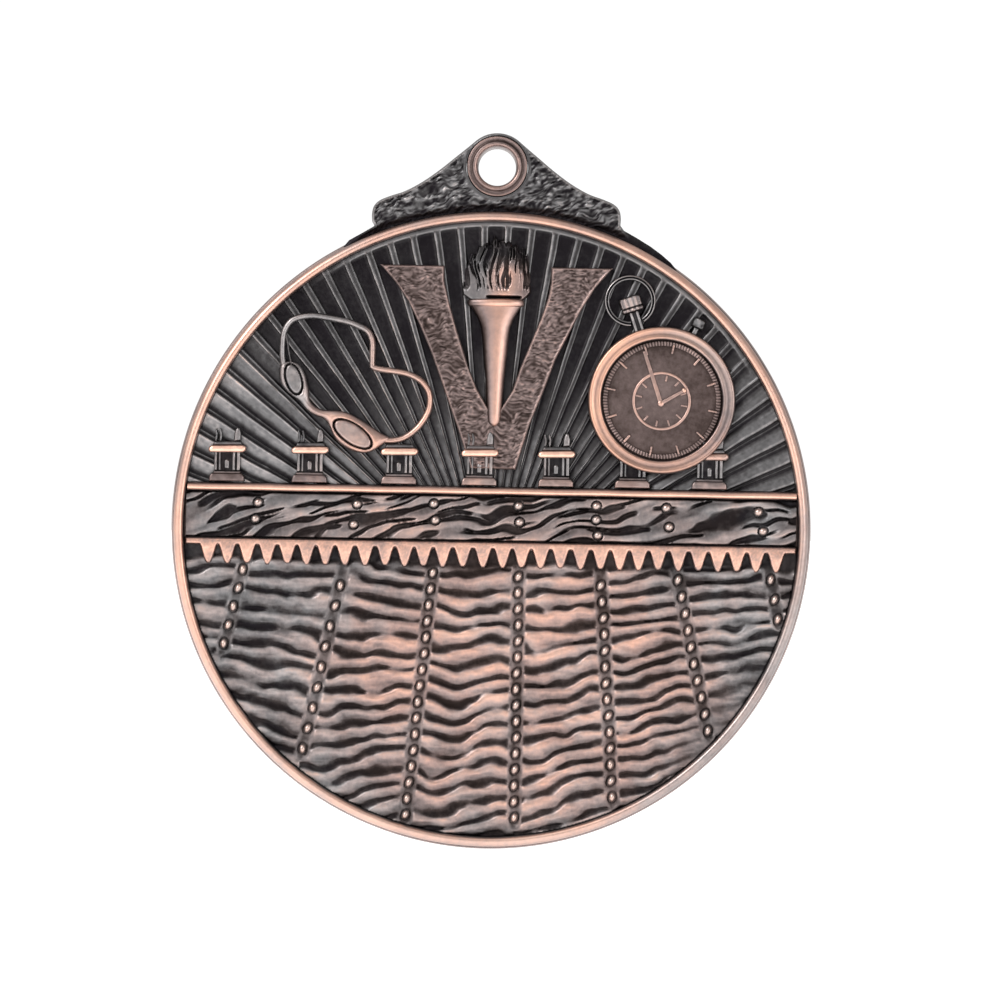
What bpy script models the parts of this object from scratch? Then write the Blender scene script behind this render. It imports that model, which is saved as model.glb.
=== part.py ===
"""Swimming finisher medal: a round cast medal with a suspension loop and a relief face.

The face is drawn in millimetres in the plane of the medal: x to the right and y up from the
centre of the disc, and z as height towards the viewer. One empty, medal_face, stands that
plane upright, so the face looks along -Y and the hanging hole's centre is the origin.
Every named feature of the relief is a closed solid of its own, bedded on the one below it.
"""
import math

import bmesh
import bpy
from mathutils import Vector

MM = 0.001

# Driving dimensions, in millimetres.
DISC_RADIUS = 26.0
HOLE_HEIGHT = 29.35          # hanging hole above the disc's centre
HOLE_RADIUS = 1.52
EYELET_RADIUS = 2.45
LOOP_RADIUS = 2.72           # outside of the loop, round the hole
FIELD_RADIUS = 24.35         # the relief ends here, inside the rim
BACK = -1.5                  # heights, from the middle of the thickness
PLATE_TOP = 0.30
RIM_TOP = 1.5
GAP = 0.04                   # clearance between pieces that are bedded on each other
RELIEF_BASE = PLATE_TOP + GAP

# Heights of the relief's levels.
RAY_VALLEY = 0.52
RAY_CREST = 0.74
MOTIF_BASE = RAY_CREST + GAP
CHANNEL = 0.55
WAVE_TROUGH = 0.60
WAVE_CREST = 0.92
PENNANT_SEAT = 0.70

# Horizontal bands of the face, by height above the disc's centre.
LEDGE_TOP = 3.42
LEDGE_BOTTOM = 2.75
FAR_WATER_TOP = 2.70
FAR_WATER_BOTTOM = -0.95
NEAR_WATER_TOP = -1.0
PENNANT_TOP = -1.02
PENNANT_BAR_BOTTOM = -1.5
PENNANT_TIP = -3.1
PENNANT_COUNT = 30
PENNANT_PITCH = 1.583
PENNANT_SHIFT = 0.15         # the row of pennants sits a little to the right

RAY_CENTRE = (0.0, -5.4)
RAY_COUNT = 49               # rays in the half turn above the pool
RAY_REACH = 34.0

# Each lane rope runs from its far end to its near end; all seven cross the water.
FAR_ROPES = (
    ((-19.0, 2.0), (-19.2, -0.4)),
    ((-10.7, 2.1), (-11.1, -0.4)),
    ((-4.4, 2.1), (-4.6, -0.4)),
    ((2.1, 2.1), (2.1, -0.4)),
    ((8.5, 2.1), (8.7, -0.4)),
    ((14.1, 2.1), (14.5, -0.4)),
    ((21.6, 2.0), (22.1, -0.4)),
)
NEAR_ROPES = (
    ((-20.1, -3.6), (-21.3, -9.7)),
    ((-12.1, -3.6), (-14.9, -18.1)),
    ((-4.5, -3.6), (-6.4, -23.2)),
    ((2.2, -3.6), (2.2, -23.4)),
    ((8.8, -3.6), (10.0, -21.6)),
    ((15.1, -3.6), (18.0, -15.9)),
    ((22.5, -3.6), (23.0, -7.0)),
)
ROPE_HALF_CHANNEL = 0.62
BEAD_PITCH = 1.3
BEAD_RADIUS = 0.34
CORD_RADIUS = 0.15
ROPE_SIDES = 6

BLOCK_CENTRES = (-21.45, -14.8, -7.6, -1.05, 5.15, 11.3, 17.3)
BLOCK_FOOT = LEDGE_TOP + 0.10

WATCH_CENTRE = (13.53, 10.78)
WATCH_RADIUS = 5.92
WATCH_OPENING = 4.88
WATCH_LEAN = math.radians(18.6)      # the crown leans to the left
BUTTON_LEAN = math.radians(-24.8)
BOW_CENTRE = 8.44                    # along the watch's own axis, from its centre
BOW_RADIUS = 1.87
BOW_WIDTH = 0.36
SUBDIAL_CENTRE = (13.6, 10.6)
HAND_HUB = (13.55, 10.4)

TORCH_X = 0.1
CHEVRON_TOP = 21.2

COPPER = (0.72, 0.42, 0.30)
BRONZE = (0.30, 0.22, 0.19)
DARK = (0.06, 0.055, 0.055)
GREY = (0.28, 0.25, 0.24)


# ---------------------------------------------------------------- scene and object helpers
def clear_scene():
    for item in list(bpy.data.objects):
        bpy.data.objects.remove(item, do_unlink=True)


def make_face_empty():
    """The drawing plane, stood upright with the hanging hole at the world's origin."""
    empty = bpy.data.objects.new("medal_face", None)
    empty.location = (0.0, 0.0, -HOLE_HEIGHT * MM)
    empty.rotation_euler = (math.pi / 2, 0.0, 0.0)
    bpy.context.scene.collection.objects.link(empty)
    bpy.context.view_layer.update()
    return empty


def new_solid(name, bm):
    """A drawing in millimetres becomes one object on the face."""
    bmesh.ops.scale(bm, vec=(MM, MM, MM), verts=bm.verts)
    bmesh.ops.recalc_face_normals(bm, faces=bm.faces)
    mesh = bpy.data.meshes.new(name)
    bm.to_mesh(mesh)
    bm.free()
    solid = bpy.data.objects.new(name, mesh)
    solid.parent = bpy.data.objects["medal_face"]
    bpy.context.scene.collection.objects.link(solid)
    return solid


def combine(target, tool, operation):
    """Unite, cut or intersect target with tool, which is used up."""
    modifier = target.modifiers.new("combine", "BOOLEAN")
    modifier.operation = operation
    modifier.solver = "EXACT"
    modifier.object = tool
    graph = bpy.context.evaluated_depsgraph_get()
    result = bpy.data.meshes.new_from_object(target.evaluated_get(graph))
    target.modifiers.remove(modifier)
    result.name = target.name
    target.data = result
    bpy.data.objects.remove(tool)
    return target


def finish(solid, colour, roughness=0.45):
    material = bpy.data.materials.new(solid.name)
    material.use_nodes = True
    shader = material.node_tree.nodes["Principled BSDF"]
    shader.inputs["Base Color"].default_value = (*colour, 1.0)
    shader.inputs["Metallic"].default_value = 1.0
    shader.inputs["Roughness"].default_value = roughness
    solid.data.materials.clear()
    solid.data.materials.append(material)
    return solid


# ---------------------------------------------------------------- outlines
def arc(centre, radius, start, end, steps):
    """Points along an arc, angles in degrees, both ends included."""
    angles = [math.radians(start + (end - start) * i / steps) for i in range(steps + 1)]
    return [(centre[0] + radius * math.cos(a), centre[1] + radius * math.sin(a)) for a in angles]


def ellipse(centre, half_long, half_short, tilt, steps):
    points = []
    for i in range(steps):
        a = 2 * math.pi * i / steps
        x, y = half_long * math.cos(a), half_short * math.sin(a)
        points.append((centre[0] + x * math.cos(tilt) - y * math.sin(tilt),
                       centre[1] + x * math.sin(tilt) + y * math.cos(tilt)))
    return points


def rectangle(x0, y0, x1, y1):
    return [(x0, y0), (x1, y0), (x1, y1), (x0, y1)]


def smooth(points, steps, closed=False):
    """A curve through the points (Catmull-Rom), with `steps` stretches between two points."""
    count = len(points)
    spans = count if closed else count - 1
    curve = []
    for i in range(spans):
        p = []
        for k in (-1, 0, 1, 2):
            j = (i + k) % count if closed else min(max(i + k, 0), count - 1)
            p.append(Vector(points[j]))
        for s in range(steps):
            t = s / steps
            q = 0.5 * (2 * p[1] + (p[2] - p[0]) * t + (2 * p[0] - 5 * p[1] + 4 * p[2] - p[3]) * t * t
                       + (3 * p[1] - p[0] - 3 * p[2] + p[3]) * t ** 3)
            curve.append((q.x, q.y))
    if not closed:
        curve.append(tuple(points[-1]))
    return curve


def turn_about(points, centre, angle):
    cosine, sine = math.cos(angle), math.sin(angle)
    return [(centre[0] + x * cosine - y * sine, centre[1] + x * sine + y * cosine) for x, y in points]


def chord_outline(radius, low=None, high=None, steps=36):
    """The part of a circle above y = low, or below y = high."""
    if low is not None:
        edge = math.degrees(math.asin(low / radius))
        return arc((0, 0), radius, edge, 180 - edge, steps)
    edge = math.degrees(math.asin(high / radius))
    return arc((0, 0), radius, -180 - edge, edge, steps)


# ---------------------------------------------------------------- solids
def prism(outline, bottom, top, bevel=0.0):
    """The outline pushed up from bottom to top, with its upper edge chamfered."""
    bm = bmesh.new()
    base = bm.faces.new([bm.verts.new((x, y, bottom)) for x, y in outline])
    raised = bmesh.ops.extrude_face_region(bm, geom=[base])["geom"]
    verts = [v for v in raised if isinstance(v, bmesh.types.BMVert)]
    bmesh.ops.translate(bm, vec=(0, 0, top - bottom), verts=verts)
    if bevel:
        rim = [e for e in bm.edges if all(v.co.z > top - 1e-6 for v in e.verts)]
        bmesh.ops.bevel(bm, geom=rim, offset=bevel, segments=1, affect="EDGES")
    return bm


def turned(profile, steps, centre=(0.0, 0.0), closed=False):
    """A profile of (radius, z) turned about an axis through centre along z.

    A closed profile makes a ring. An open one starts and ends on the axis.
    """
    bm = bmesh.new()
    rings = []
    for radius, z in profile:
        if radius == 0.0:
            rings.append([bm.verts.new((centre[0], centre[1], z))])
        else:
            rings.append([bm.verts.new((x, y, z)) for x, y in arc(centre, radius, 0, 360, steps)[:-1]])
    pairs = list(zip(rings, rings[1:]))
    if closed:
        pairs.append((rings[-1], rings[0]))
    for first, second in pairs:
        for i in range(steps):
            j = (i + 1) % steps
            a, b = first[i % len(first)], first[j % len(first)]
            c, d = second[j % len(second)], second[i % len(second)]
            corners = [v for n, v in enumerate((a, b, c, d)) if v not in (a, b, c, d)[:n]]
            bm.faces.new(corners)
    return bm


def half_round(stations, base, steps=8):
    """A half-round bar along y: each station is (y, x, half_width, depth), flat at the base."""
    bm = bmesh.new()
    rings = []
    for y, x, half_width, depth in stations:
        ring = []
        for i in range(steps + 1):
            a = math.pi * i / steps
            ring.append(bm.verts.new((x + half_width * math.cos(a), y, base + depth * math.sin(a))))
        rings.append(ring)
    for first, second in zip(rings, rings[1:]):
        for i in range(steps + 1):
            j = (i + 1) % (steps + 1)
            bm.faces.new((first[i], first[j], second[j], second[i]))
    bm.faces.new(rings[0])
    bm.faces.new(rings[-1])
    return bm


def ribbon(path, width, bottom, top):
    """A strip of constant width along a path in the plane."""
    left, right = [], []
    for i, point in enumerate(path):
        before = Vector(path[max(i - 1, 0)])
        after = Vector(path[min(i + 1, len(path) - 1)])
        along = (after - before).normalized()
        side = Vector((-along.y, along.x)) * width / 2
        left.append(tuple(Vector(point) + side))
        right.append(tuple(Vector(point) - side))
    return prism(left + right[::-1], bottom, top)


def beaded_rope(far_end, near_end, floor):
    """Round floats on a cord, one closed tube lying just clear of the floor."""
    start, end = Vector(far_end), Vector(near_end)
    length = (end - start).length
    beads = max(2, round(length / BEAD_PITCH))
    pitch = length / beads
    along = (end - start) / length
    side = Vector((-along.y, along.x))
    height = floor + GAP + BEAD_RADIUS
    bm = bmesh.new()
    rings = []
    for bead in range(beads):
        for offset, radius in ((0.12, CORD_RADIUS), (0.30, BEAD_RADIUS),
                               (0.70, BEAD_RADIUS), (0.88, CORD_RADIUS)):
            middle = start + along * pitch * (bead + offset)
            ring = []
            for i in range(ROPE_SIDES):
                a = 2 * math.pi * (i + 0.5) / ROPE_SIDES
                point = middle + side * radius * math.cos(a)
                ring.append(bm.verts.new((point.x, point.y, height + radius * math.sin(a))))
            rings.append(ring)
    for first, second in zip(rings, rings[1:]):
        for i in range(ROPE_SIDES):
            j = (i + 1) % ROPE_SIDES
            bm.faces.new((first[i], first[j], second[j], second[i]))
    bm.faces.new(rings[0])
    bm.faces.new(rings[-1])
    return bm


def water_sheet(ropes, rows, row_height, seat_rows, bottom):
    """A rippled sheet with a smooth channel under each rope.

    Its columns follow the ropes, so that every channel runs straight along its rope.
    """
    def rope_x(rope, y):
        (x0, y0), (x1, y1) = rope
        return x0 + (x1 - x0) * (y - y0) / (y1 - y0)

    edge = DISC_RADIUS + 2.0
    bm = bmesh.new()
    grid = []
    for row, y in enumerate(rows):
        marks = [(-edge, False)]
        for rope in ropes:
            middle = rope_x(rope, y)
            left = middle - ROPE_HALF_CHANNEL
            marks.append(((marks[-1][0] + left) / 2, False))
            marks.append((left - 0.15, False))
            marks.append((left, True))
            marks.append((middle + ROPE_HALF_CHANNEL, True))
            marks.append((middle + ROPE_HALF_CHANNEL + 0.15, False))
        marks.append(((marks[-1][0] + edge) / 2, False))
        marks.append((edge, False))
        line = []
        for x, in_channel in marks:
            if row < seat_rows:
                line.append(bm.verts.new((x, y, PENNANT_SEAT)))
                continue
            z = CHANNEL if in_channel else row_height[row % 2]
            ripple = 0.0 if in_channel or row == len(rows) - 1 else 0.18 * math.sin(0.55 * x + 0.35 * row)
            line.append(bm.verts.new((x, y + ripple, z)))
        grid.append(line)
    for upper, lower in zip(grid, grid[1:]):
        for i in range(len(upper) - 1):
            bm.faces.new((upper[i], lower[i], lower[i + 1], upper[i + 1]))
    border = [e for e in bm.edges if e.is_boundary]
    skirt = bmesh.ops.extrude_edge_only(bm, edges=border)["geom"]
    for vert in (v for v in skirt if isinstance(v, bmesh.types.BMVert)):
        vert.co.z = bottom
    bmesh.ops.holes_fill(bm, edges=[e for e in bm.edges if e.is_boundary])
    return bm


# ---------------------------------------------------------------- the medal's body
def make_medal_disc():
    profile = [(0.0, -1.25), (22.6, -1.25), (23.0, BACK), (25.5, BACK), (DISC_RADIUS, -1.1),
               (DISC_RADIUS, 0.1), (25.85, PLATE_TOP), (0.0, PLATE_TOP)]
    return finish(new_solid("medal_disc", turned(profile, 96)), COPPER)


def make_rim_ring():
    profile = [(24.42, RELIEF_BASE), (25.85, RELIEF_BASE), (DISC_RADIUS, 0.6), (25.95, 1.1),
               (25.7, 1.4), (25.35, RIM_TOP), (25.0, 1.38), (24.85, 1.0), (24.45, 0.85)]
    return finish(new_solid("rim_ring", turned(profile, 96, closed=True)), COPPER, 0.3)


def lug_outline():
    """The cap-shaped plate above the disc, from its right foot over the top to its left foot.

    The feet run out along the disc's edge, the right one further than the left one.
    """
    right_foot = [(14.2, 21.9), (13.4, 22.5), (12.7, 23.1), (11.4, 23.85), (10.35, 24.4)]
    shoulder = [(10.05, 24.75), (10.05, 25.3), (9.95, 25.9), (9.5, 26.4), (8.6, 26.8), (7.4, 27.15),
                (6.0, 27.88), (4.5, 28.88), (3.4, 29.8), (2.5, 30.65)]
    top = arc((0.0, HOLE_HEIGHT), LOOP_RADIUS, 34, 146, 10)
    left_foot = [(-9.85, 24.5), (-10.9, 23.85), (-12.0, 23.15)]
    below = [(-9.0, 20.0), (9.0, 20.0)]
    return right_foot + shoulder + top + [(-x, y) for x, y in reversed(shoulder)] + left_foot + below


def make_suspension_lug():
    lug = new_solid("suspension_lug", prism(lug_outline(), -1.1, 0.85, bevel=0.18))
    disc_cut = new_solid("disc_cut", turned([(0, -2), (DISC_RADIUS + GAP, -2),
                                             (DISC_RADIUS + GAP, 3), (0, 3)], 96))
    combine(lug, disc_cut, "DIFFERENCE")
    hole_cut = new_solid("hole_cut", prism(arc((0, HOLE_HEIGHT), EYELET_RADIUS + GAP, 0, 360, 40)[:-1], -2, 3))
    combine(lug, hole_cut, "DIFFERENCE")
    return finish(lug, DARK, 0.5)


def make_eyelet_ring():
    profile = [(HOLE_RADIUS, -1.0), (1.7, -1.2), (2.2, -1.2), (EYELET_RADIUS, -1.0),
               (EYELET_RADIUS, 0.9), (2.2, 1.12), (1.75, 1.12), (HOLE_RADIUS, 0.9)]
    ring = new_solid("eyelet_ring", turned(profile, 40, (0.0, HOLE_HEIGHT), closed=True))
    return finish(ring, BRONZE)


# ---------------------------------------------------------------- the ground of the relief
def make_sunburst_panel():
    """A fan of rays that rise and fall, trimmed to the field above the pool's edge."""
    bm = bmesh.new()
    inner, outer = [], []
    for i in range(2 * RAY_COUNT + 1):
        angle = math.pi * i / (2 * RAY_COUNT)
        z = RAY_VALLEY if i % 2 else RAY_CREST
        direction = Vector((math.cos(angle), math.sin(angle)))
        for ring, reach in ((inner, 2.0), (outer, RAY_REACH)):
            point = Vector(RAY_CENTRE) + direction * reach
            ring.append(bm.verts.new((point.x, point.y, z)))
    for i in range(2 * RAY_COUNT):
        bm.faces.new((inner[i], outer[i], outer[i + 1], inner[i + 1]))
    skirt = bmesh.ops.extrude_edge_only(bm, edges=[e for e in bm.edges if e.is_boundary])["geom"]
    for vert in (v for v in skirt if isinstance(v, bmesh.types.BMVert)):
        vert.co.z = RELIEF_BASE
    bmesh.ops.holes_fill(bm, edges=[e for e in bm.edges if e.is_boundary])
    panel = new_solid("sunburst_panel", bm)
    trim = new_solid("trim", prism(chord_outline(FIELD_RADIUS, low=LEDGE_TOP + GAP, steps=48), 0, 2))
    return finish(combine(panel, trim, "INTERSECT"), DARK, 0.5)


def make_far_water():
    rows = [FAR_WATER_TOP - 0.61 * i for i in range(7)]
    rows[0] = FAR_WATER_TOP + 0.5
    rows[-1] = FAR_WATER_BOTTOM
    sheet = new_solid("far_water", water_sheet(FAR_ROPES, rows, (WAVE_TROUGH, 0.84), 0, RELIEF_BASE))
    x = math.sqrt(FIELD_RADIUS ** 2 - FAR_WATER_TOP ** 2)
    trim = new_solid("trim", prism(rectangle(-x, FAR_WATER_BOTTOM + 0.005, x, FAR_WATER_TOP), 0, 2))
    return finish(combine(sheet, trim, "INTERSECT"), GREY, 0.5)


def make_near_water():
    rows = [0.0, PENNANT_TIP - 0.05] + [PENNANT_TIP - 0.35 - 0.62 * i for i in range(36)]
    sheet = new_solid("near_water", water_sheet(NEAR_ROPES, rows, (WAVE_TROUGH, WAVE_CREST), 2, RELIEF_BASE))
    trim = new_solid("trim", prism(chord_outline(FIELD_RADIUS, high=NEAR_WATER_TOP, steps=60), 0, 2))
    return finish(combine(sheet, trim, "INTERSECT"), GREY, 0.5)


def make_pool_ledge():
    """The pool's edge, a bar with a rounded top that runs from rim to rim."""
    half = math.sqrt(FIELD_RADIUS ** 2 - LEDGE_TOP ** 2) - 0.02
    outline = rectangle(-half, LEDGE_BOTTOM, half, LEDGE_TOP)
    return finish(new_solid("pool_ledge", prism(outline, RELIEF_BASE, 1.25, bevel=0.16)), COPPER, 0.3)


def make_pennant_string():
    half = 24.1
    outline = [(half, PENNANT_TOP), (-half, PENNANT_TOP), (-half, PENNANT_BAR_BOTTOM)]
    for i in range(PENNANT_COUNT):
        x = PENNANT_SHIFT + (i - (PENNANT_COUNT - 1) / 2) * PENNANT_PITCH
        outline += [(x - 0.66, PENNANT_BAR_BOTTOM), (x - 0.06, PENNANT_TIP), (x + 0.06, PENNANT_TIP),
                    (x + 0.66, PENNANT_BAR_BOTTOM)]
    outline.append((half, PENNANT_BAR_BOTTOM))
    return finish(new_solid("pennant_string", prism(outline, PENNANT_SEAT + GAP, 1.12)), COPPER, 0.4)


def make_lane_ropes():
    for prefix, ropes in (("far", FAR_ROPES), ("near", NEAR_ROPES)):
        for number, (far_end, near_end) in enumerate(ropes, 1):
            rope = new_solid(f"{prefix}_lane_rope_{number}", beaded_rope(far_end, near_end, CHANNEL))
            finish(rope, COPPER)


# ---------------------------------------------------------------- starting blocks
PEDESTAL = ((1.45, 0.0), (1.45, 0.35), (1.2, 0.75), (1.05, 0.8), (1.05, 2.3))
SHOULDER = ((1.2, 2.35), (1.2, 2.85))
GRIPS = ((1.1, 2.9), (1.1, 4.1), (0.7, 4.25), (0.6, 2.9))
PLATE_HALF = 1.52


def block_outline(x, half):
    """A block seen from the water: its right half's outline, mirrored about x."""
    right = [(x + dx, BLOCK_FOOT + dy) for dx, dy in half]
    left = [(x - dx, BLOCK_FOOT + dy) for dx, dy in reversed(half)]
    return right + left


def make_starting_blocks():
    """Seven blocks in a row. The goggles' strap hides the third one's grips, and the watch
    hides the sixth one's top and part of the seventh's.
    """
    for number, x in enumerate(BLOCK_CENTRES, 1):
        top_hidden = abs(WATCH_CENTRE[0] - x) < WATCH_RADIUS / 2
        half = PEDESTAL
        if not top_hidden:
            half += SHOULDER
            if number != 3:
                half += GRIPS
        block = new_solid(f"starting_block_{number}", prism(block_outline(x, half), MOTIF_BASE, 1.05))
        if not top_hidden:
            plate = rectangle(x - PLATE_HALF, BLOCK_FOOT + 2.4, x + PLATE_HALF, BLOCK_FOOT + 2.88)
            combine(block, new_solid("plate", prism(plate, MOTIF_BASE, 1.3, bevel=0.12)), "UNION")
        if abs(WATCH_CENTRE[0] - x) < WATCH_RADIUS:
            disc = arc(WATCH_CENTRE, WATCH_RADIUS + GAP, 0, 360, 64)[:-1]
            combine(block, new_solid("watch_cut", prism(disc, 0, 3)), "DIFFERENCE")
        finish(block, COPPER, 0.35)


# ---------------------------------------------------------------- torch and chevron
TORCH_STATIONS = ((8.35, 0.30, 0.30), (8.6, 0.52, 0.50), (9.2, 0.60, 0.56), (12.0, 0.78, 0.62),
                  (14.0, 0.98, 0.66), (15.9, 1.14, 0.68))


def torch_half_width(y):
    """The handle's half width at a height, between its stations."""
    for (y0, w0, _), (y1, w1, _) in zip(TORCH_STATIONS, TORCH_STATIONS[1:]):
        if y0 <= y <= y1:
            return w0 + (w1 - w0) * (y - y0) / (y1 - y0)
    return TORCH_STATIONS[0][1]


def make_torch():
    handle = [(y, TORCH_X, width, depth) for y, width, depth in TORCH_STATIONS]
    finish(new_solid("torch_handle", half_round(handle, MOTIF_BASE)), COPPER, 0.3)
    cup = [(15.95, TORCH_X, 1.16, 0.68), (17.0, TORCH_X, 1.4, 0.68), (18.0, TORCH_X, 1.95, 0.66),
           (18.15, TORCH_X, 2.3, 0.7), (18.55, TORCH_X, 2.35, 0.7)]
    finish(new_solid("torch_cup", half_round(cup, MOTIF_BASE)), COPPER, 0.3)
    flame = [(18.6, TORCH_X, 1.9, 0.5), (19.4, TORCH_X, 2.35, 0.62), (21.0, TORCH_X + 0.05, 2.4, 0.6),
             (22.4, TORCH_X + 0.1, 1.95, 0.5), (23.4, TORCH_X + 0.15, 1.2, 0.38),
             (23.95, TORCH_X + 0.2, 0.4, 0.2)]
    finish(new_solid("torch_flame", half_round(flame, MOTIF_BASE)), BRONZE, 0.4)


def make_chevron():
    """A broad textured chevron in two arms, parted along the torch that stands on it."""
    torch_side = [(y, torch_half_width(y) + GAP + 0.02) for y in (8.32, 8.6, 9.2, 10.3, 11.0)]
    bottom = 4.85
    left = [(-9.3, CHEVRON_TOP), (-8.1, 19.9), (-7.0, 18.3), (-6.0, 16.3), (-5.0, 14.0), (-3.7, 10.4),
            (-2.8, 8.0), (-1.7, bottom), (TORCH_X - GAP / 2, bottom), (TORCH_X - GAP / 2, 8.25)]
    left += [(TORCH_X - width, y) for y, width in torch_side]
    left += [(-1.3, 11.3), (-2.0, 13.0), (-3.0, 16.0), (-3.6, 18.0), (-4.1, 20.0), (-4.1, CHEVRON_TOP)]
    right = [(9.5, CHEVRON_TOP), (8.1, 19.6), (7.0, 17.8), (6.0, 15.8), (5.0, 13.8), (4.0, 11.0),
             (3.0, 8.5), (1.85, bottom), (TORCH_X + GAP / 2, bottom), (TORCH_X + GAP / 2, 8.25)]
    right += [(TORCH_X + width, y) for y, width in torch_side]
    right += [(1.5, 11.2), (2.1, 13.0), (2.9, 15.0), (3.7, 17.0), (4.3, 18.8), (4.5, 20.0),
              (4.5, CHEVRON_TOP)]
    block = BLOCK_CENTRES[3]
    margin = GAP + 0.02
    behind_block = rectangle(block - PLATE_HALF - margin, BLOCK_FOOT,
                             block + PLATE_HALF + margin, BLOCK_FOOT + GRIPS[2][1] + margin)
    bow_centre = watch_outline([(0.0, BOW_CENTRE)], WATCH_LEAN)[0]
    behind_bow = arc(bow_centre, BOW_RADIUS + BOW_WIDTH / 2 + margin, 0, 360, 40)[:-1]
    for name, outline in (("v_band_left", left), ("v_band_right", right)):
        band = new_solid(name, prism(outline, MOTIF_BASE, 1.0, bevel=0.08))
        for hidden in (behind_block, behind_bow):
            combine(band, new_solid("hidden", prism(hidden, 0, 3)), "DIFFERENCE")
        finish(band, BRONZE, 0.55)


# ---------------------------------------------------------------- stopwatch
def watch_outline(points, lean):
    return turn_about(points, WATCH_CENTRE, lean)


def hand_outline(length, half_width, angle):
    """A tapered hand from the hub, with a rounded tail."""
    points = [(half_width, 0.0), (half_width * 0.45, length), (-half_width * 0.45, length)]
    points += arc((0, 0), half_width, 180, 360, 6)[:-1]
    return turn_about(points, HAND_HUB, angle)


def make_stopwatch():
    case_low, case_top = MOTIF_BASE, 0.98
    case = arc(WATCH_CENTRE, WATCH_RADIUS - 0.12, 0, 360, 64)[:-1]
    finish(new_solid("stopwatch_case", prism(case, case_low, case_top)), COPPER, 0.35)
    base = case_top + GAP
    bezel = [(WATCH_OPENING, base), (WATCH_RADIUS, base), (WATCH_RADIUS, 1.2), (5.6, 1.4), (5.25, 1.34),
             (5.1, 1.4), (WATCH_OPENING, 1.25)]
    finish(new_solid("stopwatch_bezel", turned(bezel, 64, WATCH_CENTRE, closed=True)), COPPER, 0.3)

    dial_top = base + 0.1
    dial = new_solid("stopwatch_dial",
                     prism(arc(WATCH_CENTRE, WATCH_OPENING - GAP, 0, 360, 64)[:-1], base, dial_top))
    for i in range(12):
        tick = watch_outline(rectangle(-0.08, 3.75, 0.08, 4.55), WATCH_LEAN + math.radians(30 * i))
        combine(dial, new_solid("tick", prism(tick, base + 0.02, dial_top + 0.08)), "UNION")
    finish(dial, BRONZE, 0.5)

    ring = [(2.15, dial_top + GAP), (2.37, dial_top + GAP), (2.37, dial_top + 0.12), (2.15, dial_top + 0.12)]
    finish(new_solid("stopwatch_subdial_ring", turned(ring, 40, SUBDIAL_CENTRE, closed=True)), COPPER)

    hands_base = dial_top + 0.12 + GAP
    long_hand = prism(hand_outline(4.4, 0.2, WATCH_LEAN), hands_base, hands_base + 0.08)
    finish(new_solid("stopwatch_long_hand", long_hand), COPPER)
    short_base = hands_base + 0.08 + GAP
    short_hand = prism(hand_outline(2.3, 0.22, math.radians(-60)), short_base, short_base + 0.06)
    finish(new_solid("stopwatch_short_hand", short_hand), COPPER)

    stem = prism(watch_outline(rectangle(-0.38, WATCH_RADIUS + 0.06, 0.38, 7.45), WATCH_LEAN),
                 MOTIF_BASE, 1.2, bevel=0.1)
    finish(new_solid("stopwatch_stem", stem), COPPER)
    crown_shape = rectangle(-0.9, 7.5, 0.9, 8.8)
    crown = prism(watch_outline(crown_shape, WATCH_LEAN), MOTIF_BASE, 1.35, bevel=0.2)
    finish(new_solid("stopwatch_crown", crown), COPPER)
    bow = watch_outline(arc((0.0, BOW_CENTRE), BOW_RADIUS, -74, 254, 28), WATCH_LEAN)
    finish(new_solid("stopwatch_bow", ribbon(bow, BOW_WIDTH, MOTIF_BASE, 1.15)), BRONZE)
    button = [(0.25, 6.0), (0.25, 6.45), (0.5, 6.5), (0.5, 7.25), (-0.5, 7.25), (-0.5, 6.5),
              (-0.25, 6.45), (-0.25, 6.0)]
    knob = prism(watch_outline(button, BUTTON_LEAN), MOTIF_BASE, 1.2)
    finish(new_solid("stopwatch_side_button", knob), BRONZE)


# ---------------------------------------------------------------- goggles
LENSES = (("goggles_lens_left", (-16.15, 11.85), 1.22, 0.62, math.radians(108)),
          ("goggles_lens_right", (-11.3, 7.5), 1.72, 0.78, math.radians(-33)))
FRAME_POINTS = (
    (-16.6, 13.3), (-15.7, 13.05), (-15.2, 12.3), (-14.98, 11.2), (-14.95, 10.2), (-14.55, 9.6),
    (-13.8, 9.25), (-12.4, 9.25), (-11.4, 9.05), (-10.2, 8.4), (-8.95, 7.6), (-8.8, 7.15),
    (-9.05, 6.75), (-9.7, 6.15), (-10.7, 6.0), (-11.8, 6.35), (-12.7, 7.05), (-13.15, 8.0),
    (-13.6, 8.65), (-14.4, 8.95), (-15.1, 9.4), (-15.7, 10.1), (-16.4, 10.6), (-17.1, 11.3),
    (-17.35, 12.2), (-17.25, 13.0))
STRAP_POINTS = (
    (-17.05, 13.6), (-17.1, 14.6), (-17.0, 15.6), (-16.6, 16.4), (-16.0, 16.8), (-15.0, 17.0),
    (-14.0, 16.95), (-12.0, 16.6), (-11.0, 16.25), (-10.2, 15.8), (-9.85, 15.0), (-9.82, 13.9))
STRAP_RETURN = (
    (-9.8, 12.95), (-9.0, 12.75), (-7.2, 12.5), (-6.0, 12.0), (-5.3, 11.2), (-5.1, 10.3), (-5.3, 9.3),
    (-6.0, 8.2), (-7.0, 7.35), (-7.9, 7.1), (-8.6, 7.12))


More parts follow.
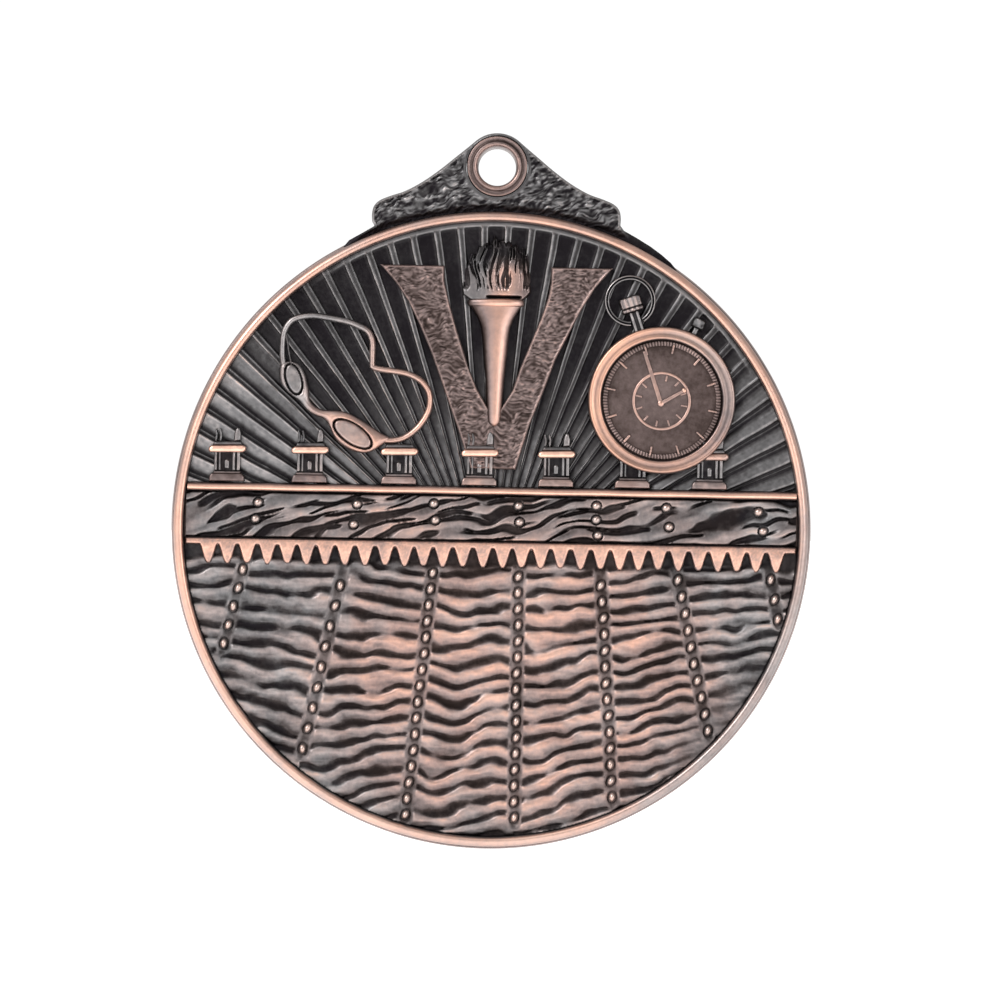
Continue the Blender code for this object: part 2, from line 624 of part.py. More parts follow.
def make_goggles():
    frame = new_solid("goggles_frame",
                      prism(smooth(FRAME_POINTS, 2, closed=True), MOTIF_BASE, 1.12))
    for name, centre, half_long, half_short, tilt in LENSES:
        opening = ellipse(centre, half_long, half_short, tilt, 24)
        combine(frame, new_solid("opening", prism(opening, 0, 3)), "DIFFERENCE")
        lens = ellipse(centre, half_long - GAP, half_short - GAP, tilt, 24)
        finish(new_solid(name, prism(lens, MOTIF_BASE, 1.02, bevel=0.12)), GREY, 0.4)
    finish(frame, COPPER, 0.35)
    path = smooth(STRAP_POINTS, 2) + smooth(STRAP_RETURN, 2)
    finish(new_solid("goggles_strap", ribbon(path, 0.34, MOTIF_BASE, 1.08)), COPPER, 0.35)


def main():
    clear_scene()
    make_face_empty()
    make_medal_disc()
    make_rim_ring()
    make_suspension_lug()
    make_eyelet_ring()
    make_sunburst_panel()
    make_pool_ledge()
    make_far_water()
    make_near_water()
    make_pennant_string()
    make_lane_ropes()
    make_starting_blocks()
    make_torch()
    make_chevron()
    make_stopwatch()
    make_goggles()


main()
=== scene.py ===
"""The looks of a cast swimming medal in antiqued copper, built round its CAD frame.

Every relief is drawn in millimetres on the medal's face: x to the right, y up from the centre of
Each vertex carries "rub", how far the dark patina is rubbed away there: 0 in a recess, 1 on a
polished high point. In places it also holds painted light and shade.
"""

import math

import bpy
import numpy as np
from mathutils import Matrix, Vector


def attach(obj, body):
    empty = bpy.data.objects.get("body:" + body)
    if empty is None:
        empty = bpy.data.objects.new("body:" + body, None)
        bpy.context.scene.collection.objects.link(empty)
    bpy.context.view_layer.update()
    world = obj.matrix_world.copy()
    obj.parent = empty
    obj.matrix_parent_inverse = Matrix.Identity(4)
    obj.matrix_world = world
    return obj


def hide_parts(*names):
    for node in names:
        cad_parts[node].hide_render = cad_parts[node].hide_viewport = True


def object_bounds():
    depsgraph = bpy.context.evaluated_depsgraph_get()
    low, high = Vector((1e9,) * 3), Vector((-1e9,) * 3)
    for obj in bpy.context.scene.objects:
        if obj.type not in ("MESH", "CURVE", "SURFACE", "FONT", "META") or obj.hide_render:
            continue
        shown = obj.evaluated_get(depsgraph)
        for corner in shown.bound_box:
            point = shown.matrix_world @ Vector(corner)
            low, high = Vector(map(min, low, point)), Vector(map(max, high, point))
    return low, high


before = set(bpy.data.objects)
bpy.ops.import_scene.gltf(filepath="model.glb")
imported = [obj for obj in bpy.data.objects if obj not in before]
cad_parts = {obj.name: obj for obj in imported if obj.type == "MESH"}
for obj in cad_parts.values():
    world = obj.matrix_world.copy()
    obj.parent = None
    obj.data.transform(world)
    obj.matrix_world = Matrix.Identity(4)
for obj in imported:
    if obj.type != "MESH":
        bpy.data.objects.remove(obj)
CAD_LOW, CAD_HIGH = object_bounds()

MM = 0.001
HOLE_HEIGHT = 29.35             # the loop's hole, above the centre of the disc
FIELD_RADIUS = 24.8             # the relief's field, inside the rim
PLATE_TOP = 0.3
PLATE_SEAT = 0.34               # the foot of what lies on the plate
SEAT = 0.6                      # the foot of what stands on the rays
LEDGE_LOW, LEDGE_HIGH = 2.74, 3.45
FAR_WATER_LOW = -0.98
WATCH = (13.62, 10.66)          # the middle of the stopwatch


# ------------------------------ numbers
LATTICE = 97


def noise(x, y, seed):
    """Smooth value noise from -1 to 1, with one lattice cell to a unit."""
    table = np.random.default_rng(seed).uniform(-1, 1, (LATTICE, LATTICE))
    cell_x, cell_y = np.floor(x).astype(int), np.floor(y).astype(int)
    across, up = ramp(x - cell_x, 0, 1), ramp(y - cell_y, 0, 1)

    def row(j):
        i, j = cell_x % LATTICE, j % LATTICE
        return blend(table[i, j], table[(i + 1) % LATTICE, j], across)

    return blend(row(cell_y), row(cell_y + 1), up)


def ramp(value, low, high):
    """0 below low, 1 above high, and smooth between them."""
    t = np.clip((value - low) / (high - low), 0, 1)
    return t * t * (3 - 2 * t)


def blend(first, second, share):
    """First at a share of 0, second at 1."""
    return first * (1 - share) + second * share


# ------------------------------ outlines
def arc(centre, radius, start, end, steps):
    angles = np.radians(np.linspace(start, end, steps + 1))
    return [(centre[0] + radius * math.cos(a), centre[1] + radius * math.sin(a)) for a in angles]


def circle(centre, radius, steps):
    return arc(centre, radius, 0, 360, steps)[:-1]


def box(x0, y0, x1, y1):
    return [(x0, y0), (x1, y0), (x1, y1), (x0, y1)]


def oval(centre, half_long, half_short, tilt, steps=48):
    return turn([(half_long * math.cos(a), half_short * math.sin(a))
                 for a in np.linspace(0, 2 * math.pi, steps + 1)[:-1]], centre, tilt)


def turn(points, centre, angle):
    c, s = math.cos(angle), math.sin(angle)
    return [(centre[0] + x * c - y * s, centre[1] + x * s + y * c) for x, y in points]


def leaned(x, y, centre, lean):
    """Places along and across a direction that leans anticlockwise from the x axis."""
    x, y = x - centre[0], y - centre[1]
    return x * math.cos(lean) + y * math.sin(lean), y * math.cos(lean) - x * math.sin(lean)


def smooth(points, steps, closed=False):
    """A curve through the points, with `steps` stretches between two of them."""
    count = len(points)
    curve = []
    for i in range(count if closed else count - 1):
        a, b, c, d = (np.array(points[k % count if closed else min(max(k, 0), count - 1)], float)
                      for k in range(i - 1, i + 3))
        for t in np.arange(steps) / steps:
            curve.append(tuple(0.5 * (2 * b + (c - a) * t + (2 * a - 5 * b + 4 * c - d) * t * t
                                      + (3 * b - a - 3 * c + d) * t ** 3)))
    return curve if closed else curve + [tuple(points[-1])]


def measure(x, y, loops):
    """Distance to the nearest edge of the loops, positive inside, and the nearest point on it."""
    best = np.full(x.shape, 1e9)
    near_x, near_y = np.zeros(x.shape), np.zeros(x.shape)
    inside = np.zeros(x.shape, bool)
    for loop in loops:
        for (x0, y0), (x1, y1) in zip(loop, list(loop[1:]) + [loop[0]]):
            dx, dy = x1 - x0, y1 - y0
            if dx * dx + dy * dy < 1e-12:
                continue
            t = np.clip(((x - x0) * dx + (y - y0) * dy) / (dx * dx + dy * dy), 0, 1)
            px, py = x0 + t * dx, y0 + t * dy
            away = (x - px) ** 2 + (y - py) ** 2
            closer = away < best
            best = np.where(closer, away, best)
            near_x, near_y = np.where(closer, px, near_x), np.where(closer, py, near_y)
            if dy:
                inside ^= ((y0 > y) != (y1 > y)) & (x < x0 + dx * (y - y0) / dy)
    distance = np.sqrt(best)
    return np.where(inside, distance, -distance), near_x, near_y


# ------------------------------ shapes: (points, faces, rub)
def join(*shapes):
    """Several shapes as one."""
    faces, start = [], 0
    for points, own_faces, _ in shapes:
        faces += [tuple(i + start for i in face) for face in own_faces]
        start += len(points)
    return np.concatenate([s[0] for s in shapes]), faces, np.concatenate([s[2] for s in shapes])


def grid_quads(rows, columns):
    """The corners of each cell in a grid of points that are numbered row by row."""
    number = np.arange(rows * columns).reshape(rows, columns)
    corners = [number[:-1, :-1], number[:-1, 1:], number[1:, 1:], number[1:, :-1]]
    return np.stack(corners, -1).reshape(-1, 4)


def walled(points, quads, rub, floor, underside=True):
    """A surface of quads with walls from its border down to the floor, and a flat underside.

    The underside is left out where the border is more than one loop.
    """
    edges = np.concatenate([quads[:, [k, (k + 1) % 4]] for k in range(4)])
    edges = edges[edges[:, 0] != edges[:, 1]]
    key = np.sort(edges, axis=1)
    _, index, count = np.unique(key, axis=0, return_index=True, return_counts=True)
    border = edges[index[count == 1]]
    rim = np.unique(border)
    below = np.full(len(points), -1)
    below[rim] = len(points) + np.arange(len(rim))
    foot = points[rim].copy()
    foot[:, 2] = floor
    faces = [tuple(q) for q in quads.tolist()]
    faces += [(below[a], below[b], b, a) for a, b in border.tolist()]
    points = np.concatenate([points, foot])
    rub = np.concatenate([rub, np.zeros(len(rim))])
    if underside:
        follow = dict(border.tolist())
        start = int(border[0, 0])
        loop, step = [start], follow[start]
        while step != start:
            loop.append(step)
            step = follow[step]
        if len(loop) == len(border):
            faces.append(tuple(int(below[i]) for i in reversed(loop)))
    return points, faces, rub


def relief(loops, step, shape, floor, underside=True):
    """What the loops enclose, raised by shape(x, y, distance from the edge) -> height, rub.

    It is a grid of square cells, whose outermost points are drawn onto the loops.
    """
    every = np.array([p for loop in loops for p in loop])
    low, high = every.min(0) - step, every.max(0) + step
    x, y = np.meshgrid(*(np.arange(low[k], high[k] + step, step) for k in (0, 1)))
    distance, near_x, near_y = measure(x, y, loops)
    within = distance > 0.35 * step
    x, y = np.where(within, x, near_x), np.where(within, y, near_y)
    distance = np.where(within, distance, 0.0)
    quads = grid_quads(*x.shape)
    quads = quads[within.ravel()[quads].any(1)]
    used = np.unique(quads)
    fresh = np.zeros(x.size, int)
    fresh[used] = np.arange(len(used))
    x, y, distance = x.ravel()[used], y.ravel()[used], distance.ravel()[used]
    height, rub = shape(x, y, distance)
    return walled(np.stack([x, y, height], -1), fresh[quads], rub, floor, underside)


def lathe(profile, centre, steps, ring=False, ripple=None, wear_and_shade=None):
    """A profile of (radius, height, rub), from the middle outwards over the top, turned about centre.

    ripple(radius, angles) lifts a ring, and its rub with it; worn(angles) scales the rub.
    """
    angles = np.linspace(0, 2 * math.pi, steps + 1)[:-1]
    around = np.stack([np.cos(angles), np.sin(angles)], -1)
    points, rubs, rings = [], [], []
    for radius, height, rub in profile:
        count = steps if radius else 1
        rings.append([len(points) + j % count for j in range(steps)])
        lift = ripple(radius, angles) if ripple and radius else np.zeros(steps)
        points += np.column_stack([centre + radius * around, height + lift])[:count].tolist()
        rubs += (rub * (wear_and_shade(angles) if wear_and_shade else 1.0) + 3.0 * lift)[:count].tolist()
    faces = []
    for inner, outer in zip(rings, rings[1:] + rings[:1] if ring else rings[1:]):
        for j in range(steps):
            k = (j + 1) % steps
            faces.append(tuple(dict.fromkeys((inner[j], outer[j], outer[k], inner[k]))))
    return np.array(points), faces, np.array(rubs)


def sweep(path, section, widths=None, heights=None, wear_and_shade=None):
    """A section of (side, height, rub), from right to left, carried along a path in the plane.

    At each point of the path, widths and heights scale the section and worn scales its rub.
    """
    path = np.asarray(path, float)
    count, size = len(path), len(section)
    along = np.gradient(path, axis=0)
    along /= np.linalg.norm(along, axis=1)[:, None]
    side = np.stack([-along[:, 1], along[:, 0]], -1)
    widths, heights, wear_and_shade = (np.ones(count) if given is None else np.asarray(given, float)
                             for given in (widths, heights, wear_and_shade))
    base = section[0][1]
    points = np.zeros((count, size, 3))
    for k, (offset, height, _) in enumerate(section):
        points[:, k, :2] = path + side * (offset * widths)[:, None]
        points[:, k, 2] = base + (height - base) * heights
    rub = np.outer(wear_and_shade, [r for _, _, r in section]).ravel()
    faces = []
    for i in range(0, (count - 1) * size, size):
        for k in range(size):
            m = (k + 1) % size
            faces.append((i + k, i + size + k, i + size + m, i + m))
    faces.append(tuple(range(size)))
    faces.append(tuple(range((count - 1) * size, count * size))[::-1])
    return points.reshape(-1, 3), faces, rub


def half_round(half_width, base, top, rub, steps=12, edge=0.1):
    """A half-round section, from right to left, whose rub goes from edge to rub on top."""
    section = []
    for i in range(steps + 1):
        a = math.pi * i / steps
        lift = math.sin(a)
        section.append((-half_width * math.cos(a), base + (top - base) * lift,
                        edge + (rub - edge) * lift ** 0.7))
    return section


def dome(centre, half_long, half_short, tilt, base, top, rub, steps=20, rows=5, edge=0.0):
    """Half an egg, flat at its base, whose rub goes from edge to rub on top."""
    profile = [(0.0, top, rub)]
    for i in range(1, rows + 1):
        a = 0.5 * math.pi * i / rows
        profile.append((math.sin(a), base + (top - base) * math.cos(a),
                        edge + (rub - edge) * math.cos(a) ** 0.6))
    profile.append((0.0, base, 0.0))
    points, faces, rubs = lathe(profile, (0, 0), steps)
    flat = turn([(x * half_long, y * half_short) for x, y in points[:, :2]], centre, tilt)
    return np.column_stack([np.array(flat), points[:, 2]]), faces, rubs


def slab(outline, top, rub, step=0.06, edge=0.12, side_rub=0.2, base=SEAT):
    """A flat-topped relief with a rounded edge."""
    def shape(x, y, d):
        share = np.sqrt(1 - (1 - np.clip(d / edge, 0, 1)) ** 2)
        height = top - edge * 1.1 * (1 - share) + 0.012 * noise(x * 3, y * 3, 81)
        return height, side_rub + (rub - side_rub) * share + 0.05 * noise(x * 2.5, y * 2.5, 82)

    return relief([outline], step, shape, base)


# ------------------------------ objects
def add(node, shape, material, sharp=50, cool=None, name=None):
    """One object of the medal, standing for a CAD node; cool(x, y) is how far its colours turn grey, which on
    the rim and the bezel is painted light and shade.
    """
    points, faces, rub = shape
    name = name or node + "_look"
    world = [(x * MM, -h * MM, (y - HOLE_HEIGHT) * MM) for x, y, h in points.tolist()]
    mesh = bpy.data.meshes.new(name)
    mesh.from_pydata(world, [], faces)
    values = {"rub": rub}
    if cool:
        values["cool"] = cool(points[:, 0], points[:, 1])
    for key, value in values.items():
        mesh.attributes.new(key, "FLOAT", "POINT").data.foreach_set("value", np.asarray(value, np.float32))
    mesh.shade_smooth()
    mesh.set_sharp_from_angle(angle=math.radians(sharp))
    mesh.materials.append(material)
    piece = bpy.data.objects.new(name, mesh)
    bpy.context.scene.collection.objects.link(piece)
    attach(piece, "root")
    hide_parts(node)


# ------------------------------ materials
# Colours by how far the patina is rubbed away, from the black of a recess to bare copper.
WARM = ((0.0, (0.024, 0.017, 0.015)), (0.18, (0.066, 0.047, 0.043)), (0.38, (0.2, 0.15, 0.142)),
        (0.58, (0.41, 0.276, 0.24)), (0.78, (0.68, 0.405, 0.312)), (1.0, (0.92, 0.585, 0.455)))
ORANGE = WARM[:3] + ((0.58, (0.42, 0.262, 0.212)), (0.78, (0.64, 0.365, 0.262)), (1.0, (0.88, 0.53, 0.385)))
COOL = ((0.0, (0.015, 0.013, 0.015)), (0.18, (0.052, 0.049, 0.05)), (0.38, (0.17, 0.165, 0.168)),
        (0.58, (0.36, 0.33, 0.325)), (0.78, (0.62, 0.44, 0.37)), (1.0, (0.9, 0.6, 0.48)))
GRAIN_DEPTH = 0.04 * MM


def fill(tree, node, sockets):
    """Fill a shader node's sockets, each with a value or a link."""
    for key, value in dict(sockets).items():
        if isinstance(value, bpy.types.NodeSocket):
            tree.links.new(value, node.inputs[key])
        else:
            node.inputs[key].default_value = value


def maker(tree):
    """A function that adds a shader node, with its settings, and fills its sockets."""
    def make(kind, sockets=(), **settings):
        node = tree.nodes.new("ShaderNode" + kind)
        for key, value in settings.items():
            setattr(node, key, value)
        fill(tree, node, sockets)
        return node

    return make


def patina(name, stops=WARM, others=None, mottle=0.4, patchy=0.12, fine=0.1, dark_rough=0.42,
           bright_rough=0.41, grain=0.25):
    """Antiqued copper: black in the recesses, gunmetal on the slopes, copper where it is rubbed.

    With other stops, patches of the surface, and where the mesh says "cool", take those colours.
    """
    material = bpy.data.materials.new(name)
    material.use_nodes = True
    tree = material.node_tree
    make = maker(tree)
    place = make("VectorMath", {0: make("TexCoord").outputs["Object"], "Scale": 1 / MM},
                 operation="SCALE").outputs[0]

    def cloud(size, detail, seed):
        """Noise with blobs of about that size in mm."""
        shift = make("VectorMath", {0: place, 1: (seed, seed * 1.7, -seed)}, operation="ADD")
        return make("TexNoise", {"Vector": shift.outputs[0], "Scale": 1.0 / size, "Detail": detail,
                                 "Roughness": 0.55}).outputs["Fac"]

    def figure(operation, first, second):
        return make("Math", {0: first, 1: second}, operation=operation).outputs[0]

    def uneven(amount, *blobs):
        return figure("MULTIPLY", figure("SUBTRACT", cloud(*blobs), 0.5), amount)

    def span(value, low, high, bottom, top):
        """From bottom to top as the value goes from low to high."""
        return make("MapRange", {"Value": value, "From Min": low, "From Max": high, "To Min": bottom,
                                 "To Max": top}).outputs[0]

    def attribute(key):
        return make("Attribute", attribute_name=key).outputs["Fac"]

    blotches = figure("ADD", uneven(patchy * 2, 3.2, 2.0, 3.0), uneven(fine * 2, 0.35, 4.0, 11.0))
    wear_and_shade = figure("ADD", attribute("rub"), blotches)

    def coloured(marks):
        colours = make("ValToRGB", {"Fac": wear_and_shade})
        while len(colours.color_ramp.elements) < len(marks):
            colours.color_ramp.elements.new(0.5)
        for element, (position, colour) in zip(colours.color_ramp.elements, marks):
            element.position = position
            element.color = (*colour, 1.0)
        return colours.outputs["Color"]

    base = coloured(stops)
    if others:
        share = figure("ADD", span(cloud(2.6, 2.0, 67.0), 0.4, 0.62, 0.0, mottle), attribute("cool"))
        base = make("Mix", {0: share, 6: base, 7: coloured(others)}, data_type="RGBA").outputs[2]
    rough = figure("ADD", span(wear_and_shade, 0.1, 0.9, dark_rough, bright_rough), uneven(0.16, 0.8, 3.0, 29.0))
    bump = make("Bump", {"Strength": grain, "Distance": GRAIN_DEPTH, "Height": cloud(0.16, 3.0, 41.0)})
    fill(tree, tree.nodes["Principled BSDF"],
         {"Metallic": 1.0, "Base Color": base, "Roughness": rough, "Normal": bump.outputs["Normal"]})
    return material


COPPER = patina("antique_copper", bright_rough=0.39)
SATIN = patina("rubbed_copper", fine=0.09, grain=0.18)
RICH = patina("rich_copper", stops=ORANGE, others=COOL, mottle=0.0, patchy=0.14, fine=0.09, grain=0.18)
BRONZE = patina("rubbed_bronze", dark_rough=0.52, bright_rough=0.42)
DARK = patina("dark_patina", stops=COOL, patchy=0.08, fine=0.08, dark_rough=0.52, bright_rough=0.36,
              grain=0.2)
WATER = patina("water_patina", others=COOL, patchy=0.2, fine=0.12, dark_rough=0.52, bright_rough=0.5)
GREYED = patina("greyed_copper", others=COOL, mottle=0.3, patchy=0.14, bright_rough=0.42, grain=0.2)
FLOAT = patina("worn_float", stops=COOL, patchy=0.06, fine=0.06, dark_rough=0.46, bright_rough=0.34,
               grain=0.1)


# ------------------------------ disc, rim and lug
BACK = -1.5
SUNK_BACK = -1.25


def medal_body():
    """The plate under the relief, its drafted side and its plain sunk back."""
    top = [(0.0, PLATE_TOP, 0.02), (23.0, PLATE_TOP, 0.02), (25.7, PLATE_TOP, 0.3)]
    side = [(25.78, 0.24, 0.4), (25.9, -0.5, 0.45), (25.98, -1.1, 0.55), (25.96, -1.28, 0.6),
            (25.84, -1.42, 0.6)]
    back = [(25.6, BACK, 0.55), (24.3, BACK, 0.5), (23.1, BACK, 0.5), (22.92, -1.47, 0.46),
            (22.78, -1.38, 0.25), (22.68, -1.29, 0.1), (22.5, SUNK_BACK, 0.28)]
    back += [(radius, SUNK_BACK, 0.36) for radius in (21.5, 18.0, 14.0, 10.0, 6.0, 2.5, 0.0)]
    add("medal_disc", lathe(top + side + back, (0, 0), 288), SATIN, sharp=35, name="medal_body")


def rim():
    profile = [(24.82, 0.26, 0.05), (24.83, 0.62, 0.16), (24.86, 0.86, 0.32), (24.89, 1.08, 0.58),
               (24.94, 1.3, 0.75), (25.03, 1.44, 0.8), (25.17, 1.49, 0.78), (25.32, 1.46, 0.74),
               (25.45, 1.37, 0.71), (25.56, 1.21, 0.7), (25.63, 0.97, 0.69), (25.68, 0.65, 0.65),
               (25.7, 0.26, 0.6)]

    # Lowers the rub a little at the top and much more at the lower right, where it is painted shade.
    def wear_and_shade(angles):
        top = ramp(np.cos(angles - math.radians(108)), 0.75, 0.97)
        lower_right = ramp(np.cos(angles + math.radians(31)), 0.7, 0.98)
        return 1.0 - 0.1 * top - 0.3 * lower_right

    # The rim turns grey towards the lower right: painted shade.
    add("rim_ring", lathe(profile, (0, 0), 360, ring=True, wear_and_shade=wear_and_shade), GREYED, sharp=60,
        cool=lambda x, y: 0.5 * ramp(0.4 * x - y, -6, 20))


LOOP_RADIUS = 2.72
LUG_HOLE_RADIUS = 2.5           # the eyelet fills it
LUG_INNER = 25.72               # where the lug meets the disc
LUG_BACK = -1.1
SHOULDER = ((10.05, 24.75), (10.08, 25.3), (9.95, 25.95), (9.5, 26.45), (8.6, 26.85), (7.4, 27.27),
            (6.0, 28.05), (4.6, 29.06), (3.4, 30.05), (2.45, 30.83))
RIGHT_FOOT = ((14.75, 21.12), (14.2, 21.8), (13.4, 22.48), (12.5, 23.12), (11.4, 23.78), (10.35, 24.35))
LEFT_FOOT = ((-9.85, 24.4), (-10.9, 23.78), (-11.9, 23.2), (-12.4, 22.58))


def lug():
    """A rough plate that rises from two thin feet to the loop, with a bevelled border.

    Its back is left open, so that from behind it is a hollow shell, unlike the CAD's solid lug.
    """
    shoulder = smooth(SHOULDER, 4)
    outer = [*RIGHT_FOOT, *shoulder, *arc((0, HOLE_HEIGHT), LOOP_RADIUS, 46, 134, 24),
             *((-x, y) for x, y in reversed(shoulder)), *LEFT_FOOT]
    under = arc((0, 0), LUG_INNER, 118.4, 55.4, 60)

    def shape(x, y, d):
        edge, _, _ = measure(x, y, [outer + [(-9, 20), (9, 20)]])
        from_disc = np.hypot(x, y) - LUG_INNER
        from_hole = np.hypot(x, y - HOLE_HEIGHT)
        u, v = leaned(x, y, (0, 0), math.radians(22))
        v += 0.28 * noise(x * 0.9, y * 0.9, 5) + 0.1 * noise(x * 2.2, y * 2.2, 8)
        strokes = noise(u * 1.9, v * 5.4, 6) * 0.75 + noise(u * 3.8, v * 9.5, 7) * 0.6
        bevel = ramp(edge, 0.0, 0.16)
        field = ramp(edge, 0.18, 0.3) * ramp(from_hole, 2.66, 2.84)
        collar = 1 - ramp(np.abs(from_hole - 2.62), 0.06, 0.24)
        foot = ramp(np.abs(x + 0.3), 10.2, 11.2)
        height = 0.3 + 0.55 * bevel - field * (0.16 - 0.1 * strokes)
        height = blend(height, 0.25 + 0.12 * ramp(edge, 0, 0.3), foot)
        height -= 0.3 * (1 - ramp(from_disc, 0.1, 0.6)) * (1 - foot)
        rub = 0.44 + 0.08 * bevel - field * (0.33 - 0.36 * strokes)
        rub = blend(rub, 0.14, foot) * ramp(from_disc, 0.15, 0.8)
        return height, blend(rub, 0.18, 0.8 * collar * ramp(edge, 0.05, 0.3))

    hole = circle((0, HOLE_HEIGHT), LUG_HOLE_RADIUS, 64)
    plate = relief([outer + under, hole], 0.072, shape, LUG_BACK, underside=False)
    add("suspension_lug", plate, DARK, name="lug_look")


def eyelet():
    """Two rolled rings with a groove between them, and the hole's wall."""
    ring = [(1.52, -1.0, 0.3), (1.56, 0.55, 0.3), (1.62, 0.9, 0.44), (1.72, 1.06, 0.52), (1.84, 1.12, 0.48),
            (1.95, 1.06, 0.34), (2.02, 0.92, 0.16), (2.12, 0.86, 0.24), (2.24, 0.88, 0.34),
            (2.34, 0.94, 0.5), (2.4, 0.92, 0.44), (2.46, 0.7, 0.1), (2.47, -1.0, 0.1), (2.2, -1.15, 0.4),
            (1.7, -1.15, 0.4)]
    add("eyelet_ring", lathe(ring, (0, HOLE_HEIGHT), 96, ring=True), COPPER, sharp=60,
        name="eyelet_look")


# ------------------------------ sunburst
RAY_CENTRE_HEIGHT = -5.2
RAY_STEP = 180 / 48
RAY_PHASE = 0.38
RIDGE_RADIUS = 24.57
# Across one ray, from its crest to the next one: place, height and rub.
UPPER_RAY = ((0.0, 0.8, 0.52), (0.05, 0.78, 0.38), (0.09, 0.74, 0.2), (0.19, 0.72, 0.16),
             (0.225, 0.74, 0.34), (0.255, 0.73, 0.38), (0.285, 0.66, 0.16), (0.33, 0.52, 0.02),
             (0.6, 0.5, 0.01), (0.86, 0.51, 0.02), (0.95, 0.56, 0.08), (1.0, 0.8, 0.52))
SIDE_RAY = ((0.0, 0.8, 0.52), (0.05, 0.76, 0.34), (0.1, 0.58, 0.05), (0.18, 0.56, 0.1), (0.23, 0.62, 0.32),
            (0.28, 0.54, 0.06), (0.36, 0.5, 0.03), (0.46, 0.58, 0.19), (0.6, 0.66, 0.34), (0.76, 0.71, 0.4),
            (0.92, 0.75, 0.4), (1.0, 0.8, 0.54))


def across(section, place):
    marks, heights, rubs = zip(*section)
    return np.interp(place, marks, heights), np.interp(place, marks, rubs)


def sunburst():
    """Rays that fan out from a point below the pool's edge.

    Near the top a ray is a black floor between thin paired lines; at the sides and near the pool
    its floor is a broad grey band. A thin ridge runs inside the rim, over the top and the
    right shoulder.
    """
    low = LEDGE_HIGH + 0.01
    reach = FIELD_RADIUS + 0.02
    drop = -RAY_CENTRE_HEIGHT
    start = math.degrees(math.atan2(math.sqrt(reach ** 2 - low ** 2), low + drop))
    angles = np.linspace(-start, start, 1400)
    lean = np.radians(angles)
    near = (low + drop) / np.cos(lean)
    far = drop * np.cos(lean) + np.sqrt(reach ** 2 - (drop * np.sin(lean)) ** 2)
    share = np.concatenate([np.linspace(0, 0.965, 46), np.linspace(0.97, 1, 16)])[:, None]
    radius = blend(near, far, share)
    x, y = radius * np.sin(lean), radius * np.cos(lean) - drop
    place = (angles / RAY_STEP - RAY_PHASE + 0.02 * noise(radius * 0.5, angles * 0.3, 21)) % 1.0
    upper, upper_rub = across(UPPER_RAY, place)
    side, side_rub = across(SIDE_RAY, place)
    banded = np.maximum(ramp(np.abs(angles), 36, 56), 0.55 * (1 - ramp(radius, 12.5, 21.0)))
    height = blend(upper, side, banded)
    height = 0.6 + (height - 0.6) * (0.75 + 0.25 * ramp(radius, 8.5, 16.0))
    height += 0.014 * noise(x * 2.2, y * 2.2, 22) + 0.01 * noise(x * 5.0, y * 5.0, 23)
    # The rays at the left get more rub and those at the right less: painted light and shade.
    rub = blend(upper_rub, side_rub, banded) * blend(1.12, 0.86, ramp(angles, -25, 25))
    rub *= 0.98 + 0.22 * noise(x * 0.25, y * 0.25, 24) + 0.16 * noise(x * 4.0, y * 4.0, 25)
    rub *= 1.3 - 0.3 * ramp(radius, 11.0, 16.0)
    out = np.hypot(x, y)
    round_top = np.degrees(np.arctan2(x, y))
    crest = np.exp(-((out - RIDGE_RADIUS) / 0.15) ** 2)
    ridge = np.where(out > RIDGE_RADIUS, 1, crest)
    ridge = ridge * ramp(round_top, -40, -24) * (1 - ramp(round_top, 48, 64))
    # Along the ridge the rub rises to a light grey line, over the top and the right shoulder only: a painted
    # highlight.
    height, rub = blend(height, 0.72, ridge), blend(rub, 0.24 + 0.22 * crest, ridge)
    points = np.stack([x, y, height], -1).reshape(-1, 3)
    shape = walled(points, grid_quads(*x.shape), rub.ravel(), PLATE_SEAT)
    add("sunburst_panel", shape, DARK, sharp=70, name="sunburst_look")


# ------------------------------ water
# The first and the last float of each near lane rope, left to right, and how many it has.
NEAR_ROPES = (
    ((-20.05, -3.6), (-21.4, -9.6)), ((-12.15, -4.75), (-14.9, -18.0)), ((-4.65, -3.6), (-6.5, -23.2)),
    ((2.32, -3.8), (2.26, -23.3)), ((9.0, -4.4), (10.2, -21.5)), ((15.2, -3.85), (17.8, -16.0)),
    ((22.65, -3.7), (23.3, -6.9)),
)
NEAR_BEADS = (5, 9, 16, 16, 14, 10, 3)
# The floats of the far ropes, and the middles of those ropes.
FAR_BEADS = (
    (-18.85, 1.85), (-19.05, 0.52), (-10.85, 1.85), (-11.1, 0.2), (-4.65, 1.98), (-4.5, 0.66), (2.2, 1.92),
    (2.3, 0.6), (8.5, 2.02), (8.5, 0.9), (8.65, -0.35), (14.15, 1.95), (14.4, 0.42), (21.6, 1.75),
    (22.0, 0.2))
FAR_MIDDLES = (-18.95, -11.0, -4.6, 2.25, 8.55, 14.3, 21.8)
# The waves of each lane, left to right: height of the first trough and the spacing of the rest at
# the left rope, the same at the right rope, and how far a trough sags and sways between them.
LANES = (
    (-3.9, 1.3, -3.4, 1.45, 0.0, 0.0), (-3.9, 1.36, -4.0, 1.62, 0.0, 0.12),
    (-3.7, 1.58, -4.9, 1.3, 0.1, 0.1), (-3.4, 1.46, -3.3, 1.43, 0.3, 0.3),
    (-3.7, 1.5, -3.3, 1.36, 0.0, 0.1), (-4.1, 1.22, -3.5, 1.13, -0.1, 0.16),
    (-4.3, 1.25, -3.7, 1.15, -0.1, 0.08), (-3.8, 1.2, -3.8, 1.2, 0.0, 0.0),
)


def rope_at(rope, y):
    (x0, y0), (x1, y1) = rope
    return x0 + (x1 - x0) * (y - y0) / (y1 - y0)


